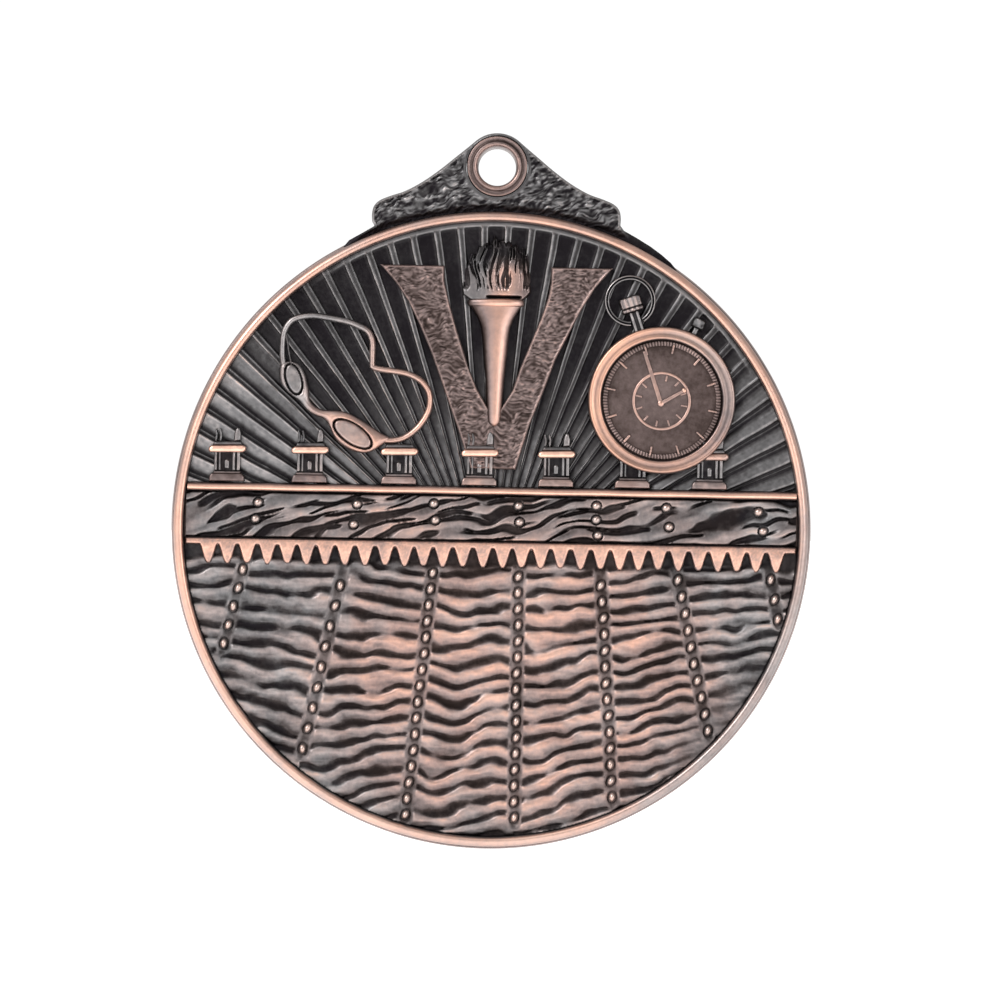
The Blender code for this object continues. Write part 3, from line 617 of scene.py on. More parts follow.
def lane_waves(x, y):
    """Each point's place between two troughs, from 0 to 1 downwards, and its trough's own strength."""
    banks = [np.full(x.shape, -FIELD_RADIUS)] + [rope_at(rope, y) for rope in NEAR_ROPES]
    banks.append(np.full(x.shape, FIELD_RADIUS))
    place, strength = np.zeros(x.shape), np.zeros(x.shape)
    for number, (first_left, gap_left, first_right, gap_right, sag, sway) in enumerate(LANES):
        left, right = banks[number], banks[number + 1]
        share = np.clip((x - left) / np.maximum(right - left, 0.5), 0, 1)
        eased = blend(share, ramp(share, 0, 1), 0.6)
        depth = ramp(-y, 6.0, 16.0)
        bow = 4 * sag * share * (1 - share) + sway * (0.4 + depth) * np.sin(2 * math.pi * (share - 0.05))
        phase = blend((first_left - y) / gap_left, (first_right - y) / gap_right, eased) - bow / gap_left
        phase += 0.3 * noise(x * 0.45, y * 0.6, 31 + number) + 0.1 * noise(x * 1.1, y * 1.3, 51 + number)
        own = noise(x * 0.72 + 17.3 * np.round(phase), 0.5 + 9.0 * number + 0 * y, 61)
        inside = (x >= left) & (x < right)
        place, strength = np.where(inside, phase % 1.0, place), np.where(inside, own, strength)
    return place, strength


def near_bead_centres():
    """Each float of the near ropes: rope number, centre and lean."""
    centres = []
    for number, (((x0, y0), (x1, y1)), count) in enumerate(zip(NEAR_ROPES, NEAR_BEADS), 1):
        for i in range(count):
            share = i / (count - 1)
            wander = 0.05 * math.sin(7.3 * i + number)
            lean = math.radians(72) + 0.2 * math.sin(3.1 * i + number)
            centres.append((number, (x0 + (x1 - x0) * share + wander, y0 + (y1 - y0) * share), lean))
    return centres


BEAD_LONG, BEAD_SHORT = 0.46, 0.32
FLOAT_FOOT, FLOAT_TOP = 0.48, 1.08
BEAD_GROOVE = 0.54              # the floor of the ring round a float


def near_water_shape(x, y, d):
    """Swells between sharp hollows, cut by the lane ropes' grooves and ending at the pennants."""
    place, strength = lane_waves(x, y)
    gap = np.full(x.shape, 9.0)
    for rope in NEAR_ROPES:
        beyond = np.maximum(rope[1][1] - 0.4 - y, 0)
        gap = np.minimum(gap, np.hypot(x - rope_at(rope, y), beyond))
    calm = ramp(np.hypot(x, y), 21.5, 24.2) * ramp(x, 13.0, 17.0) * ramp(-y, 9.0, 13.0)
    open_water = ramp(gap, 0.42, 0.72) * (1 - 0.75 * calm)
    away = 1.35 * np.minimum(place, 1 - place)
    half = 0.03 + 0.23 * ramp(strength, -0.7, 0.8)
    trough = (1 - ramp(away, half * 0.4, half + 0.2)) * ramp(strength, -0.85, -0.3) * open_water
    swell = 0.5 + 0.5 * np.cos(2 * math.pi * (place - 0.32 + 0.06 * strength))
    fine = noise(x * 1.1, y * 3.6, 32) + 0.7 * noise(x * 1.7, y * 7.2, 39)
    height = 0.72 + 0.13 * swell * open_water + 0.03 * fine - 0.2 * trough
    height += 0.03 * noise(x * 0.7, y * 1.1, 38)
    warm = 1 - ramp(np.hypot((x - 1.5) / 17.5, (y + 12.0) / 14.5), 0.55, 1.15)
    tone = 0.37 + 0.13 * warm + 0.26 * (swell - 0.4) * open_water
    rub = (tone + 0.08 * noise(x * 0.35, y * 0.8, 33) + 0.05 * fine) * (1 - 0.95 * trough)

    # beside the ropes: a low bank, the rope's groove, and a ring round each float
    flecks = noise(x * 2.4, y * 2.4, 35)
    bank = 1 - ramp(gap, 0.42, 0.72)
    height, rub = blend(height, 0.74 + 0.03 * flecks, bank), blend(rub, 0.36 + 0.14 * flecks, bank)
    groove = 1 - ramp(gap, 0.28, 0.46)
    height, rub = blend(height, 0.64, groove), blend(rub, 0.26 + 0.1 * flecks, groove)
    for _, bead, lean in near_bead_centres():
        close = np.hypot(x - bead[0], y - bead[1]) < 0.9
        u, v = leaned(x[close], y[close], bead, lean)
        outside = (np.hypot(u / BEAD_LONG, v / BEAD_SHORT) - 1) * BEAD_SHORT
        ring = 1 - ramp(outside, 0.02, 0.1)
        height[close] = blend(height[close], BEAD_GROOVE, ring)
        rub[close] = blend(rub[close], 0.2, ring)

    # the sunk ground behind the pennants, which the swells run up into
    shore = -2.78 + 0.34 * noise(x * 0.5, 0 * y, 36) + 0.12 * noise(x * 1.4, 0 * y, 37)
    ground = ramp(y - shore, -0.35, 0.2)
    height, rub = blend(height, 0.5, ground), blend(rub, 0.1 + 0.06 * flecks, ground)
    return height, rub * ramp(FIELD_RADIUS - np.hypot(x, y), 0.0, 0.05)


def near_water():
    left = math.degrees(math.asin(1.0 / FIELD_RADIUS))
    outline = arc((0, 0), FIELD_RADIUS, -180 + left, -left, 240)

    def cool(x, y):
        return 0.68 * ramp(np.hypot((x - 2.5) / 19.0, (y + 12.5) / 13.0), 0.6, 1.15)

    water = relief([outline], 0.092, near_water_shape, PLATE_SEAT)
    add("near_water", water, WATER, sharp=75, cool=cool)


def far_water_shape(x, y, d):
    """Long slanting hollows with tapered ends between smooth swells, steeper at the left."""
    v = y - 0.21 * x + 0.0022 * x * x
    v = v + 0.62 * noise(x * 0.28, y * 0.45, 51) + 0.14 * noise(x * 0.9, y * 1.2, 52)
    trough = np.zeros(x.shape)
    swells = []
    for spacing, thick, seed in ((1.3, 0.33, 53), (0.92, 0.12, 54)):
        phase = v / spacing + 0.46 * noise(x * 0.33, v * 0.6, seed)
        row = np.round(phase)
        strength = noise(x * 0.62 + 13.7 * row, 0.5 + 0 * y, seed + 10)
        half = 0.02 + thick * ramp(strength, -0.25, 0.75)
        hollow = 1 - ramp(np.abs(phase - row) * spacing, half * 0.5, half + 0.13)
        trough = np.maximum(trough, hollow * ramp(strength, -0.3, -0.02))
        swells.append(0.5 + 0.5 * np.cos(2 * math.pi * (phase - row - 0.3)))
    fine = noise(x * 0.8, v * 4.2, 56)
    height = 0.84 - 0.3 * trough + 0.06 * swells[0] + 0.03 * fine
    tone = 0.36 + 0.17 * swells[0] + 0.1 * noise(x * 0.35, y * 0.9, 55) + 0.07 * fine
    rub = tone * (1 - 0.95 * trough)
    for bx, by in FAR_BEADS:
        ring = 1 - ramp(np.hypot(x - bx, y - by), 0.39, 0.47)
        height, rub = blend(height, BEAD_GROOVE, ring), blend(rub, 0.18, ring)
    margin = (1 - ramp(y, 2.58, 2.72)) * ramp(y, FAR_WATER_LOW, -0.86)
    return blend(0.52, height, margin), rub * margin


def far_water():
    half = math.sqrt(FIELD_RADIUS ** 2 - 2.7 ** 2)
    outline = box(-half, FAR_WATER_LOW, half, LEDGE_LOW)
    add("far_water", relief([outline], 0.08, far_water_shape, PLATE_SEAT), WATER,
        sharp=75, cool=lambda x, y: 0.3 + 0.3 * ramp(np.abs(x), 8, 22))


def ropes():
    """Floats on the lane ropes, in their grooves."""
    floats = {}
    for number, centre, lean in near_bead_centres():
        bead = dome(centre, BEAD_LONG, BEAD_SHORT, lean, FLOAT_FOOT, FLOAT_TOP, 0.72, rows=7, edge=0.42)
        floats.setdefault(f"near_lane_rope_{number}", []).append(bead)
    for number, middle in enumerate(FAR_MIDDLES, 1):
        floats[f"far_lane_rope_{number}"] = [
            dome(bead, 0.43, 0.38, 0.4, FLOAT_FOOT, FLOAT_TOP, 0.7, steps=22, rows=7, edge=0.28)
            for bead in FAR_BEADS if abs(bead[0] - middle) < 1.5]
    for node, beads in floats.items():
        add(node, join(*beads), FLOAT, sharp=75)


# ------------------------------ ledge and pennants
def ledge():
    half = math.sqrt(FIELD_RADIUS ** 2 - 3.4 ** 2) + 0.03
    path = [(x, 0.012 * math.sin(0.9 * x)) for x in np.linspace(-half, half, 160)]
    section = [(LEDGE_LOW, PLATE_SEAT, 0.0), (2.76, 0.9, 0.2), (2.82, 1.08, 0.58), (2.9, 1.2, 0.84),
               (3.0, 1.27, 0.9), (3.08, 1.27, 0.86), (3.16, 1.23, 0.7), (3.26, 1.15, 0.62),
               (3.35, 1.02, 0.5), (3.41, 0.84, 0.25), (LEDGE_HIGH, 0.6, 0.05),
               (LEDGE_HIGH, PLATE_SEAT, 0.0)]
    add("pool_ledge", sweep(path, section), COPPER, sharp=60, name="ledge_look")


PENNANT_COUNT = 30
PENNANT_PITCH = 1.583
PENNANT_SHIFT = 0.15
STRING_TOP, STRING_LOW = -1.03, -1.62
PENNANT_SIDE = ((0.73, STRING_LOW), (0.65, -1.82), (0.53, -2.2), (0.41, -2.6), (0.27, -2.94))


def pennants():
    half = FIELD_RADIUS - 0.08
    outline = [(half, STRING_TOP), (-half, STRING_TOP), (-half, STRING_LOW)]
    for i in range(PENNANT_COUNT):
        x = PENNANT_SHIFT + (i - (PENNANT_COUNT - 1) / 2) * PENNANT_PITCH + 0.05 * math.sin(5.1 * i)
        side = PENNANT_SIDE + ((0.13, -3.12 - 0.05 * math.sin(2.7 * i)),)
        outline += [(x - a, b) for a, b in side] + [(x + a, b) for a, b in reversed(side)]
    outline.append((half, STRING_LOW))

    def shape(x, y, d):
        top = 1.1 - 0.1 * ramp(-y, 1.6, 3.1) + 0.015 * noise(x * 1.5, y * 1.5, 71)
        edge = ramp(d, -0.02, 0.16)
        rub = 0.36 + 0.36 * edge + 0.1 * noise(x * 1.6, y * 1.6, 72) + 0.1 * noise(x * 9, y * 9, 73)
        return blend(0.8, top, edge), rub

    add("pennant_string", relief([outline], 0.075, shape, 0.5), COPPER, name="pennants_look")


# ------------------------------ starting blocks
BLOCK_CENTRES = (-21.4, -14.72, -7.5, -1.0, 5.2, 11.38, 17.6)
BLOCK_FOOT = 3.5
# Outlines of a block's pieces, from the middle of its foot.
FOOT = ((-1.48, 0), (1.42, 0), (1.4, 0.42), (1.2, 0.66), (-1.26, 0.66), (-1.44, 0.42))
ARCH = [(-0.32, 0)] + arc((-0.03, 0.77), 0.34, 180, 0, 10) + [(0.27, 0)]
PLATE = ((-1.38, 2.32), (1.3, 2.36), (1.5, 2.52), (1.54, 2.74), (1.44, 2.92), (1.2, 2.96), (-1.25, 2.92),
         (-1.48, 2.74), (-1.54, 2.5))
PLATE_BACK = ((-1.2, 2.9), (1.22, 2.94), (1.1, 3.26), (-1.05, 3.22))
BROAD_HANDLE = ((0.5, 3.25), (1.08, 3.3), (1.12, 3.9), (0.98, 4.32), (0.78, 4.42), (0.62, 4.2), (0.52, 3.8))
THIN_HANDLE = ((-1.02, 3.25), (-0.84, 3.25), (-0.78, 3.8), (-0.9, 4.25), (-1.04, 4.2), (-1.0, 3.8))
COLUMNS = ((-0.93, 0.12, 0.46), (-0.6, 0.1, 0.42), (0.53, 0.12, 0.48), (0.9, 0.14, 0.52))
NO_HANDLES, BEHIND_WATCH, UNDER_WATCH = 3, 6, 7     # blocks, counted from the left


def block_cool(x, y):
    """The columns and the handles are greyer than the foot and the plate."""
    up = y - BLOCK_FOOT
    return 0.75 * (ramp(up, 0.7, 0.9) - ramp(up, 2.28, 2.4) + ramp(up, 2.94, 3.06))


def starting_block(number, x):
    """The pieces of the block whose foot has its middle at x."""
    def at(points, shift=0.0):
        return turn(points, (x + shift, BLOCK_FOOT), 0)

    foot_rub = 0.52 - 0.16 * float(ramp(abs(x - 5), 8, 25))
    parts = [slab(at(FOOT), 1.12, foot_rub, edge=0.18),
             slab(at(box(-1.12, 0.62, 1.08, 0.86)), 1.02, 0.34, edge=0.08),
             slab(at(box(-1.02, 0.8, 1.02, 2.45)), 0.84, 0.04, edge=0.05, side_rub=0.0)]
    for middle, half, rub in COLUMNS:
        column = at(box(middle - half, 0.9, middle + half, 2.4))
        parts.append(slab(column, 1.02, rub, step=0.05, edge=0.08))
    if number == BEHIND_WATCH:
        return parts
    arch = [(0.66 * a - 0.01, 0.72 * b + 1.02) for a, b in reversed(ARCH)]
    top, rub = (1.1, 0.66) if number == UNDER_WATCH else (1.34, 0.94)
    parts += [slab(at(arch), 1.0, 0.44, step=0.05, edge=0.16),
              slab(at(PLATE), top, rub, edge=0.26, side_rub=0.5),
              slab(at(PLATE_BACK), 1.08, 0.3, edge=0.14)]
    if number != NO_HANDLES:
        parts += [slab(at(BROAD_HANDLE), 1.1, 0.42, edge=0.2),
                  slab(at(THIN_HANDLE), 1.0, 0.36, step=0.05, edge=0.08),
                  slab(at(THIN_HANDLE, 0.36), 1.0, 0.36, step=0.05, edge=0.08)]
    return parts


def starting_blocks():
    for number, x in enumerate(BLOCK_CENTRES, 1):
        add(f"starting_block_{number}", join(*starting_block(number, x)), GREYED, cool=block_cool)


# ------------------------------ chevron and torch
TORCH_X = 0.1
BAND_GAP = 0.02                 # half the gap between the chevron's bands
BAND_TOP, BAND_LOW = 21.25, 4.85


def chevron():
    """Two rough, rubbed bands with a plain border, which meet under the torch."""
    left_end, right_end = TORCH_X - BAND_GAP, TORCH_X + BAND_GAP
    left = [(-9.3, BAND_TOP), (-8.1, 19.9), (-7.0, 18.3), (-6.0, 16.3), (-5.0, 14.0), (-3.7, 10.4),
            (-2.8, 8.0), (-1.75, BAND_LOW), (left_end, BAND_LOW), (left_end, 9.0), (-1.3, 11.3),
            (-2.0, 13.0), (-3.0, 16.0), (-3.6, 18.0), (-4.1, 20.0), (-4.1, BAND_TOP)]
    right = [(9.5, BAND_TOP), (8.1, 19.6), (7.0, 17.8), (6.0, 15.8), (5.0, 13.8), (4.0, 11.0),
             (3.0, 8.5), (1.9, BAND_LOW), (right_end, BAND_LOW), (right_end, 9.0), (1.5, 11.2),
             (2.1, 13.0), (2.9, 15.0), (3.7, 17.0), (4.3, 18.8), (4.5, 20.0), (4.5, BAND_TOP)]
    whole = left[:8] + right[7::-1] + right[:9:-1] + [(TORCH_X, 9.0)] + left[10:]

    def shape(x, y, d):
        edge, _, _ = measure(x, y, [whole])
        border = ramp(edge, 0.0, 0.12)
        field = ramp(edge, 0.14, 0.26)
        u = x + 0.35 * noise(x * 0.9, y * 0.9, 91)
        v = y + 0.3 * noise(x * 1.3, y * 0.8, 92)
        squiggle = noise(u * 3.0, v * 7.8, 93) * 0.75 + noise(u * 5.6, v * 11.0, 94) * 0.6
        height = 0.86 + 0.16 * border - field * (0.1 - 0.06 * squiggle)
        rub = 0.28 + 0.18 * border - field * (0.19 - 0.22 * squiggle)
        return height, rub

    for node, outline in (("v_band_left", left), ("v_band_right", right)):
        add(node, relief([outline], 0.066, shape, SEAT), BRONZE)


# The torch from its tip to its cup: height on the medal, half width, and how far it stands out.
TORCH_STATIONS = (
    (8.3, 0.1, 0.1), (8.4, 0.34, 0.3), (8.6, 0.5, 0.46), (8.9, 0.57, 0.52), (9.5, 0.62, 0.56),
    (12.0, 0.78, 0.64), (14.0, 0.97, 0.7), (15.5, 1.1, 0.72), (16.3, 1.22, 0.72), (16.9, 1.42, 0.72),
    (17.4, 1.68, 0.7), (17.8, 1.93, 0.68), (18.02, 2.1, 0.68))
CUP_FOOT = 15.92


def torch():
    """A half-round handle and a flared cup with a rim."""
    ys = np.concatenate([np.linspace(8.3, 9.0, 12), np.linspace(9.1, 18.02, 90)])
    marks, widths, depths = zip(*TORCH_STATIONS)
    width, depth = np.interp(ys, marks, widths), np.interp(ys, marks, depths) + 0.18
    section = []
    for k in range(21):
        lift = math.sin(math.pi * k / 20)
        shade = 0.34 * float(ramp(k / 20, 0.42, 0.8))
        section.append((-math.cos(math.pi * k / 20), SEAT + lift ** 0.85, 0.22 + 0.5 * lift - shade))

    def bar(which):
        return sweep([(TORCH_X, y) for y in ys[which]], section, width[which], depth[which])

    split = int(np.searchsorted(ys, CUP_FOOT))
    add("torch_handle", bar(slice(0, split)), SATIN, sharp=60)
    rim_path = [(TORCH_X - 0.02, y) for y in (18.0, 18.06, 18.16, 18.3, 18.44, 18.54, 18.58)]
    rim_section = [(a * 2.32, SEAT + (h - SEAT) * 0.98, min(1.0, r + 0.12)) for a, h, r in section]
    band = sweep(rim_path, rim_section, (0.93, 0.97, 1.0, 1.0, 1.0, 0.97, 0.92),
                 (0.86, 0.95, 1.02, 1.04, 1.02, 0.94, 0.84))
    add("torch_cup", join(bar(slice(split - 1, None)), band), SATIN, sharp=60)


FLAME_OUTLINE = (
    (-1.95, 18.45), (2.15, 18.45), (2.62, 18.8), (2.92, 19.2), (2.84, 19.8), (2.8, 20.8), (2.68, 21.7),
    (2.66, 22.5), (2.38, 22.2), (2.2, 22.9), (1.9, 22.5), (1.7, 23.1), (1.35, 22.9), (1.1, 23.4),
    (0.85, 23.2), (0.55, 23.5), (0.25, 23.3), (-0.1, 23.8), (-0.4, 23.1), (-0.75, 23.2), (-1.05, 22.9),
    (-1.4, 22.9), (-1.6, 22.3), (-1.95, 22.2), (-2.15, 21.6), (-2.42, 21.1), (-2.52, 20.2), (-2.72, 19.4),
    (-2.6, 18.9))


def flame():
    """Upright strands over a smooth bowl with a slot."""
    def shape(x, y, d):
        bulge = np.sqrt(np.clip(1 - ((x - 0.15) / 3.0) ** 2, 0.04, 1))
        crown = 0.8 + 0.46 * bulge - 0.16 * ramp(y, 21.0, 23.8)
        sway = x + 0.14 * np.sin(1.3 * y + 0.8 * x) + 0.2 * noise(x * 0.9, y * 0.7, 101)
        coarse, thin = noise(sway * 4.6, y * 0.4, 103), noise(sway * 8.5, y * 0.9, 104)
        low = 1 - ramp(y, 19.6, 21.8)
        lick = ramp(0.55 * coarse + 0.75 * thin + 0.12 * low, -0.34, 0.26)
        cut = (1 - lick) * ramp(y, 19.15, 19.7)
        slot = np.exp(-((y - 18.76) / 0.1) ** 2) * ramp(x, -0.85, -0.45) * (1 - ramp(x, 1.9, 2.3))
        edge = ramp(d, 0.0, 0.16)
        height = blend(0.72, crown - 0.22 * cut - 0.4 * slot, edge)
        warm = np.exp(-((x - 0.8) / 1.5) ** 2) * (1 - 0.92 * ramp(y, 20.6, 22.0))
        rub = 0.27 * (1 - 0.45 * ramp(y, 21.2, 23.0)) + 0.1 * ramp(-x, 0.0, 1.6) * low + 0.44 * warm
        rub = rub * (1 - 0.88 * cut) * (1 - 0.95 * slot) * (0.4 + 0.6 * edge)
        return height, rub

    add("torch_flame", relief([FLAME_OUTLINE], 0.05, shape, SEAT), GREYED,
        cool=lambda x, y: 0.8 * (1 - ramp(x, -0.9, -0.1)) + 0.6 * ramp(y, 21.2, 22.4))


# ------------------------------ stopwatch
WATCH_LEAN = math.radians(18.6)
BUTTON_LEAN = math.radians(-24.8)
BOW_HEIGHT = 8.44               # the bow's middle, along the stem from the watch's middle
SUBDIAL = (13.6, 10.6)
HUB = (13.55, 10.4)
DIAL_SEAT = 1.0
HAND_SEAT = 1.05


def on_watch(points, lean=WATCH_LEAN):
    return turn(points, WATCH, lean)


def watch_case():
    """The case, which is open underneath where the medal hides it, and the bezel round it."""
    case = [(0.0, 0.98, 0.1), (5.6, 0.98, 0.1), (5.84, 0.98, 0.1), (5.84, SEAT, 0.0)]
    add("stopwatch_case", lathe(case, WATCH, 128), COPPER)

    bezel = [(4.86, 0.99, 0.0), (4.88, 1.1, 0.16), (4.94, 1.24, 0.46), (5.02, 1.32, 0.78),
             (5.12, 1.34, 0.82), (5.22, 1.3, 0.72), (5.36, 1.26, 0.66), (5.52, 1.28, 0.7),
             (5.65, 1.36, 0.82), (5.76, 1.38, 0.86), (5.86, 1.3, 0.76), (5.93, 1.14, 0.55),
             (5.98, 0.9, 0.2), (5.99, SEAT, 0.0), (5.9, SEAT, 0.0), (5.9, 0.99, 0.0)]

    # Raises the rub at the upper left and lowers it at the lower right: painted light and shade.
    def wear_and_shade(angles):
        lower_right = ramp(np.cos(angles + math.radians(22)), 0.55, 0.98)
        return 0.82 + 0.13 * np.cos(angles - math.radians(155)) - 0.1 * lower_right

    # The bezel turns grey at its upper right: a painted highlight.
    def cool(x, y):
        return 0.45 * ramp(0.82 * (x - WATCH[0]) + 0.57 * (y - WATCH[1]), 2.0, 5.0)

    add("stopwatch_bezel", lathe(bezel, WATCH, 200, ring=True, wear_and_shade=wear_and_shade), RICH, sharp=60, cool=cool)


def watch_dial():
    """The dial with its minute track and ticks, the small dial's ticks and its ring.

    The dial is a thin sheet, open underneath where the case hides it.
    """
    def ticked(radius, angles):
        if not 4.4 < radius < 4.8:
            return np.zeros(len(angles))
        return 0.04 * np.cos(120 * (angles - WATCH_LEAN))

    rings = [(0.0, 1.04, 0.28), (1.0, 1.04, 0.29), (2.0, 1.05, 0.28), (2.5, 1.05, 0.25), (3.3, 1.045, 0.25),
             (4.0, 1.04, 0.23), (4.28, 1.04, 0.18), (4.36, 1.02, 0.1), (4.42, 1.07, 0.3),
             (4.55, 1.08, 0.34), (4.7, 1.08, 0.32), (4.76, 1.05, 0.28), (4.8, 1.0, 0.02), (4.85, 0.99, 0.0)]
    parts = [lathe(rings, WATCH, 960, ripple=ticked)]
    for i in range(12):
        lean = WATCH_LEAN + math.radians(30 * i)
        tick = turn(box(-0.1, 3.8, 0.1, 4.6), WATCH, lean)
        parts.append(slab(tick, 1.17, 0.6, step=0.05, edge=0.06, base=DIAL_SEAT))
        small = turn(box(-0.1, 1.58, 0.1, 2.14), SUBDIAL, lean)
        parts.append(slab(small, 1.12, 0.54, step=0.04, edge=0.06, base=DIAL_SEAT))
    add("stopwatch_dial", join(*parts), BRONZE, sharp=40)

    ring = [(2.12, 1.03, 0.1), (2.15, 1.12, 0.45), (2.22, 1.16, 0.66), (2.31, 1.16, 0.66),
            (2.38, 1.12, 0.45), (2.41, 1.03, 0.1)]
    add("stopwatch_subdial_ring", lathe(ring, SUBDIAL, 96, ring=True), COPPER,
        sharp=60, name="stopwatch_subdial_look")


def hand(length, half_width, angle, top):
    """A flat hand with a domed hub."""
    tip = [(half_width, 0.0), (half_width * 0.8, length), (-half_width * 0.8, length), (-half_width, 0.0)]
    outline = turn(tip + arc((0, 0), half_width, 180, 360, 10)[1:-1], HUB, angle)
    return [slab(outline, top, 0.54, step=0.04, edge=0.09, base=HAND_SEAT),
            dome(HUB, 0.3, 0.3, 0, HAND_SEAT, top + 0.04, 0.7)]


def watch_hands():
    """The long hand, and the short one with an eye at its tip."""
    add("stopwatch_long_hand", join(*hand(4.45, 0.2, WATCH_LEAN, 1.19)), COPPER)
    length, angle, top = 2.25, math.radians(-60), 1.22
    eye = turn([(0.0, length - 0.1)], HUB, angle)[0]
    knob = dome(eye, 0.24, 0.2, angle, HAND_SEAT, top + 0.05, 0.85)
    add("stopwatch_short_hand", join(*hand(length, 0.17, angle, top), knob), COPPER)


def watch_top():
    """The stem, the ribbed crown, the bow round it and the side button."""
    stem = [slab(on_watch(box(-0.4, 5.86, -0.12, 7.5)), 1.16, 0.52),
            slab(on_watch(box(0.1, 5.86, 0.38, 7.5)), 1.16, 0.52),
            slab(on_watch(box(-0.2, 5.86, 0.2, 7.5)), 0.95, 0.15, edge=0.05)]
    add("stopwatch_stem", join(*stem), DARK)

    knob = on_watch([(-0.92, 7.62), (-0.8, 7.46), (0.8, 7.46), (0.92, 7.62), (0.92, 8.62), (0.78, 8.8),
                     (-0.78, 8.8), (-0.92, 8.62)])

    def crown(x, y, d):
        aside, up = leaned(x, y, WATCH, WATCH_LEAN)
        bulge = np.sqrt(np.clip(1 - aside ** 2, 0.05, 1))
        ribs = np.cos(2 * math.pi * aside / 0.42)
        waist = np.exp(-((up - 7.86) / 0.07) ** 2)
        edge = ramp(d, 0, 0.14)
        height = 0.8 + 0.52 * bulge * edge + 0.04 * ribs * edge - 0.16 * waist
        return height, (0.3 + 0.18 * bulge + 0.12 * ribs) * (0.4 + 0.6 * edge) * (1 - 0.8 * waist)

    add("stopwatch_crown", relief([knob], 0.055, crown, SEAT), GREYED, cool=lambda x, y: 0.5 + 0 * x)

    path = on_watch(arc((0, BOW_HEIGHT), 1.87, -74, 254, 80))
    line = [(-0.21, SEAT, 0.0), (-0.2, 0.92, 0.2), (-0.15, 1.08, 0.52), (-0.09, 1.1, 0.54),
            (-0.04, 1.0, 0.14), (0.0, 0.97, 0.08)]
    section = line + [(-a, h, 0.85 * r) for a, h, r in reversed(line[:-1])]
    add("stopwatch_bow", sweep(path, section), DARK, sharp=60)

    neck = on_watch(box(-0.2, 5.9, 0.2, 6.5), BUTTON_LEAN)
    head = on_watch([(-0.5, 6.45), (0.5, 6.45), (0.56, 6.7), (0.52, 7.2), (0.3, 7.34), (-0.3, 7.34),
                     (-0.52, 7.2), (-0.56, 6.7)], BUTTON_LEAN)

    def rough(x, y, d):
        edge = ramp(d, 0, 0.16)
        bumps = noise(x * 4, y * 4, 111)
        return 0.82 + 0.3 * edge + 0.06 * bumps * edge, (0.36 + 0.22 * bumps) * (0.3 + 0.7 * edge)

    button = join(slab(neck, 1.0, 0.4), relief([head], 0.055, rough, SEAT))
    add("stopwatch_side_button", button, DARK, name="stopwatch_button_look")


# ------------------------------ goggles
LENSES = (("goggles_lens_left", (-16.15, 11.85), 1.22, 0.62, math.radians(108)),
          ("goggles_lens_right", (-11.3, 7.5), 1.72, 0.78, math.radians(-33)))
LENS_RUB = {"goggles_lens_left": 0.5, "goggles_lens_right": 0.56}
FRAME_POINTS = (
    (-16.6, 13.3), (-15.7, 13.05), (-15.2, 12.3), (-14.92, 11.2), (-14.82, 10.3), (-14.4, 9.72),
    (-13.7, 9.42), (-12.4, 9.36), (-11.4, 9.08), (-10.2, 8.4), (-8.95, 7.6), (-8.3, 7.26), (-8.55, 6.88),
    (-9.7, 6.15), (-10.7, 6.0), (-11.8, 6.35), (-12.7, 7.05), (-13.15, 8.0), (-13.6, 8.65), (-14.4, 8.95),
    (-15.1, 9.4), (-15.7, 10.1), (-16.4, 10.6), (-17.1, 11.3), (-17.35, 12.2), (-17.25, 13.0))
STRAP_POINTS = (
    (-16.95, 12.9), (-17.08, 13.6), (-17.1, 14.6), (-17.0, 15.6), (-16.6, 16.4), (-16.0, 16.8), (-15.0, 17.0),
    (-14.0, 16.95), (-12.0, 16.6), (-11.0, 16.25), (-10.2, 15.8), (-9.85, 15.0), (-9.82, 13.9))
STRAP_RETURN = (
    (-9.8, 12.95), (-9.0, 12.75), (-7.2, 12.5), (-6.0, 12.0), (-5.3, 11.2), (-5.1, 10.3), (-5.3, 9.3),
    (-6.0, 8.2), (-7.0, 7.35), (-7.9, 7.05), (-8.6, 7.05), (-9.2, 7.2))


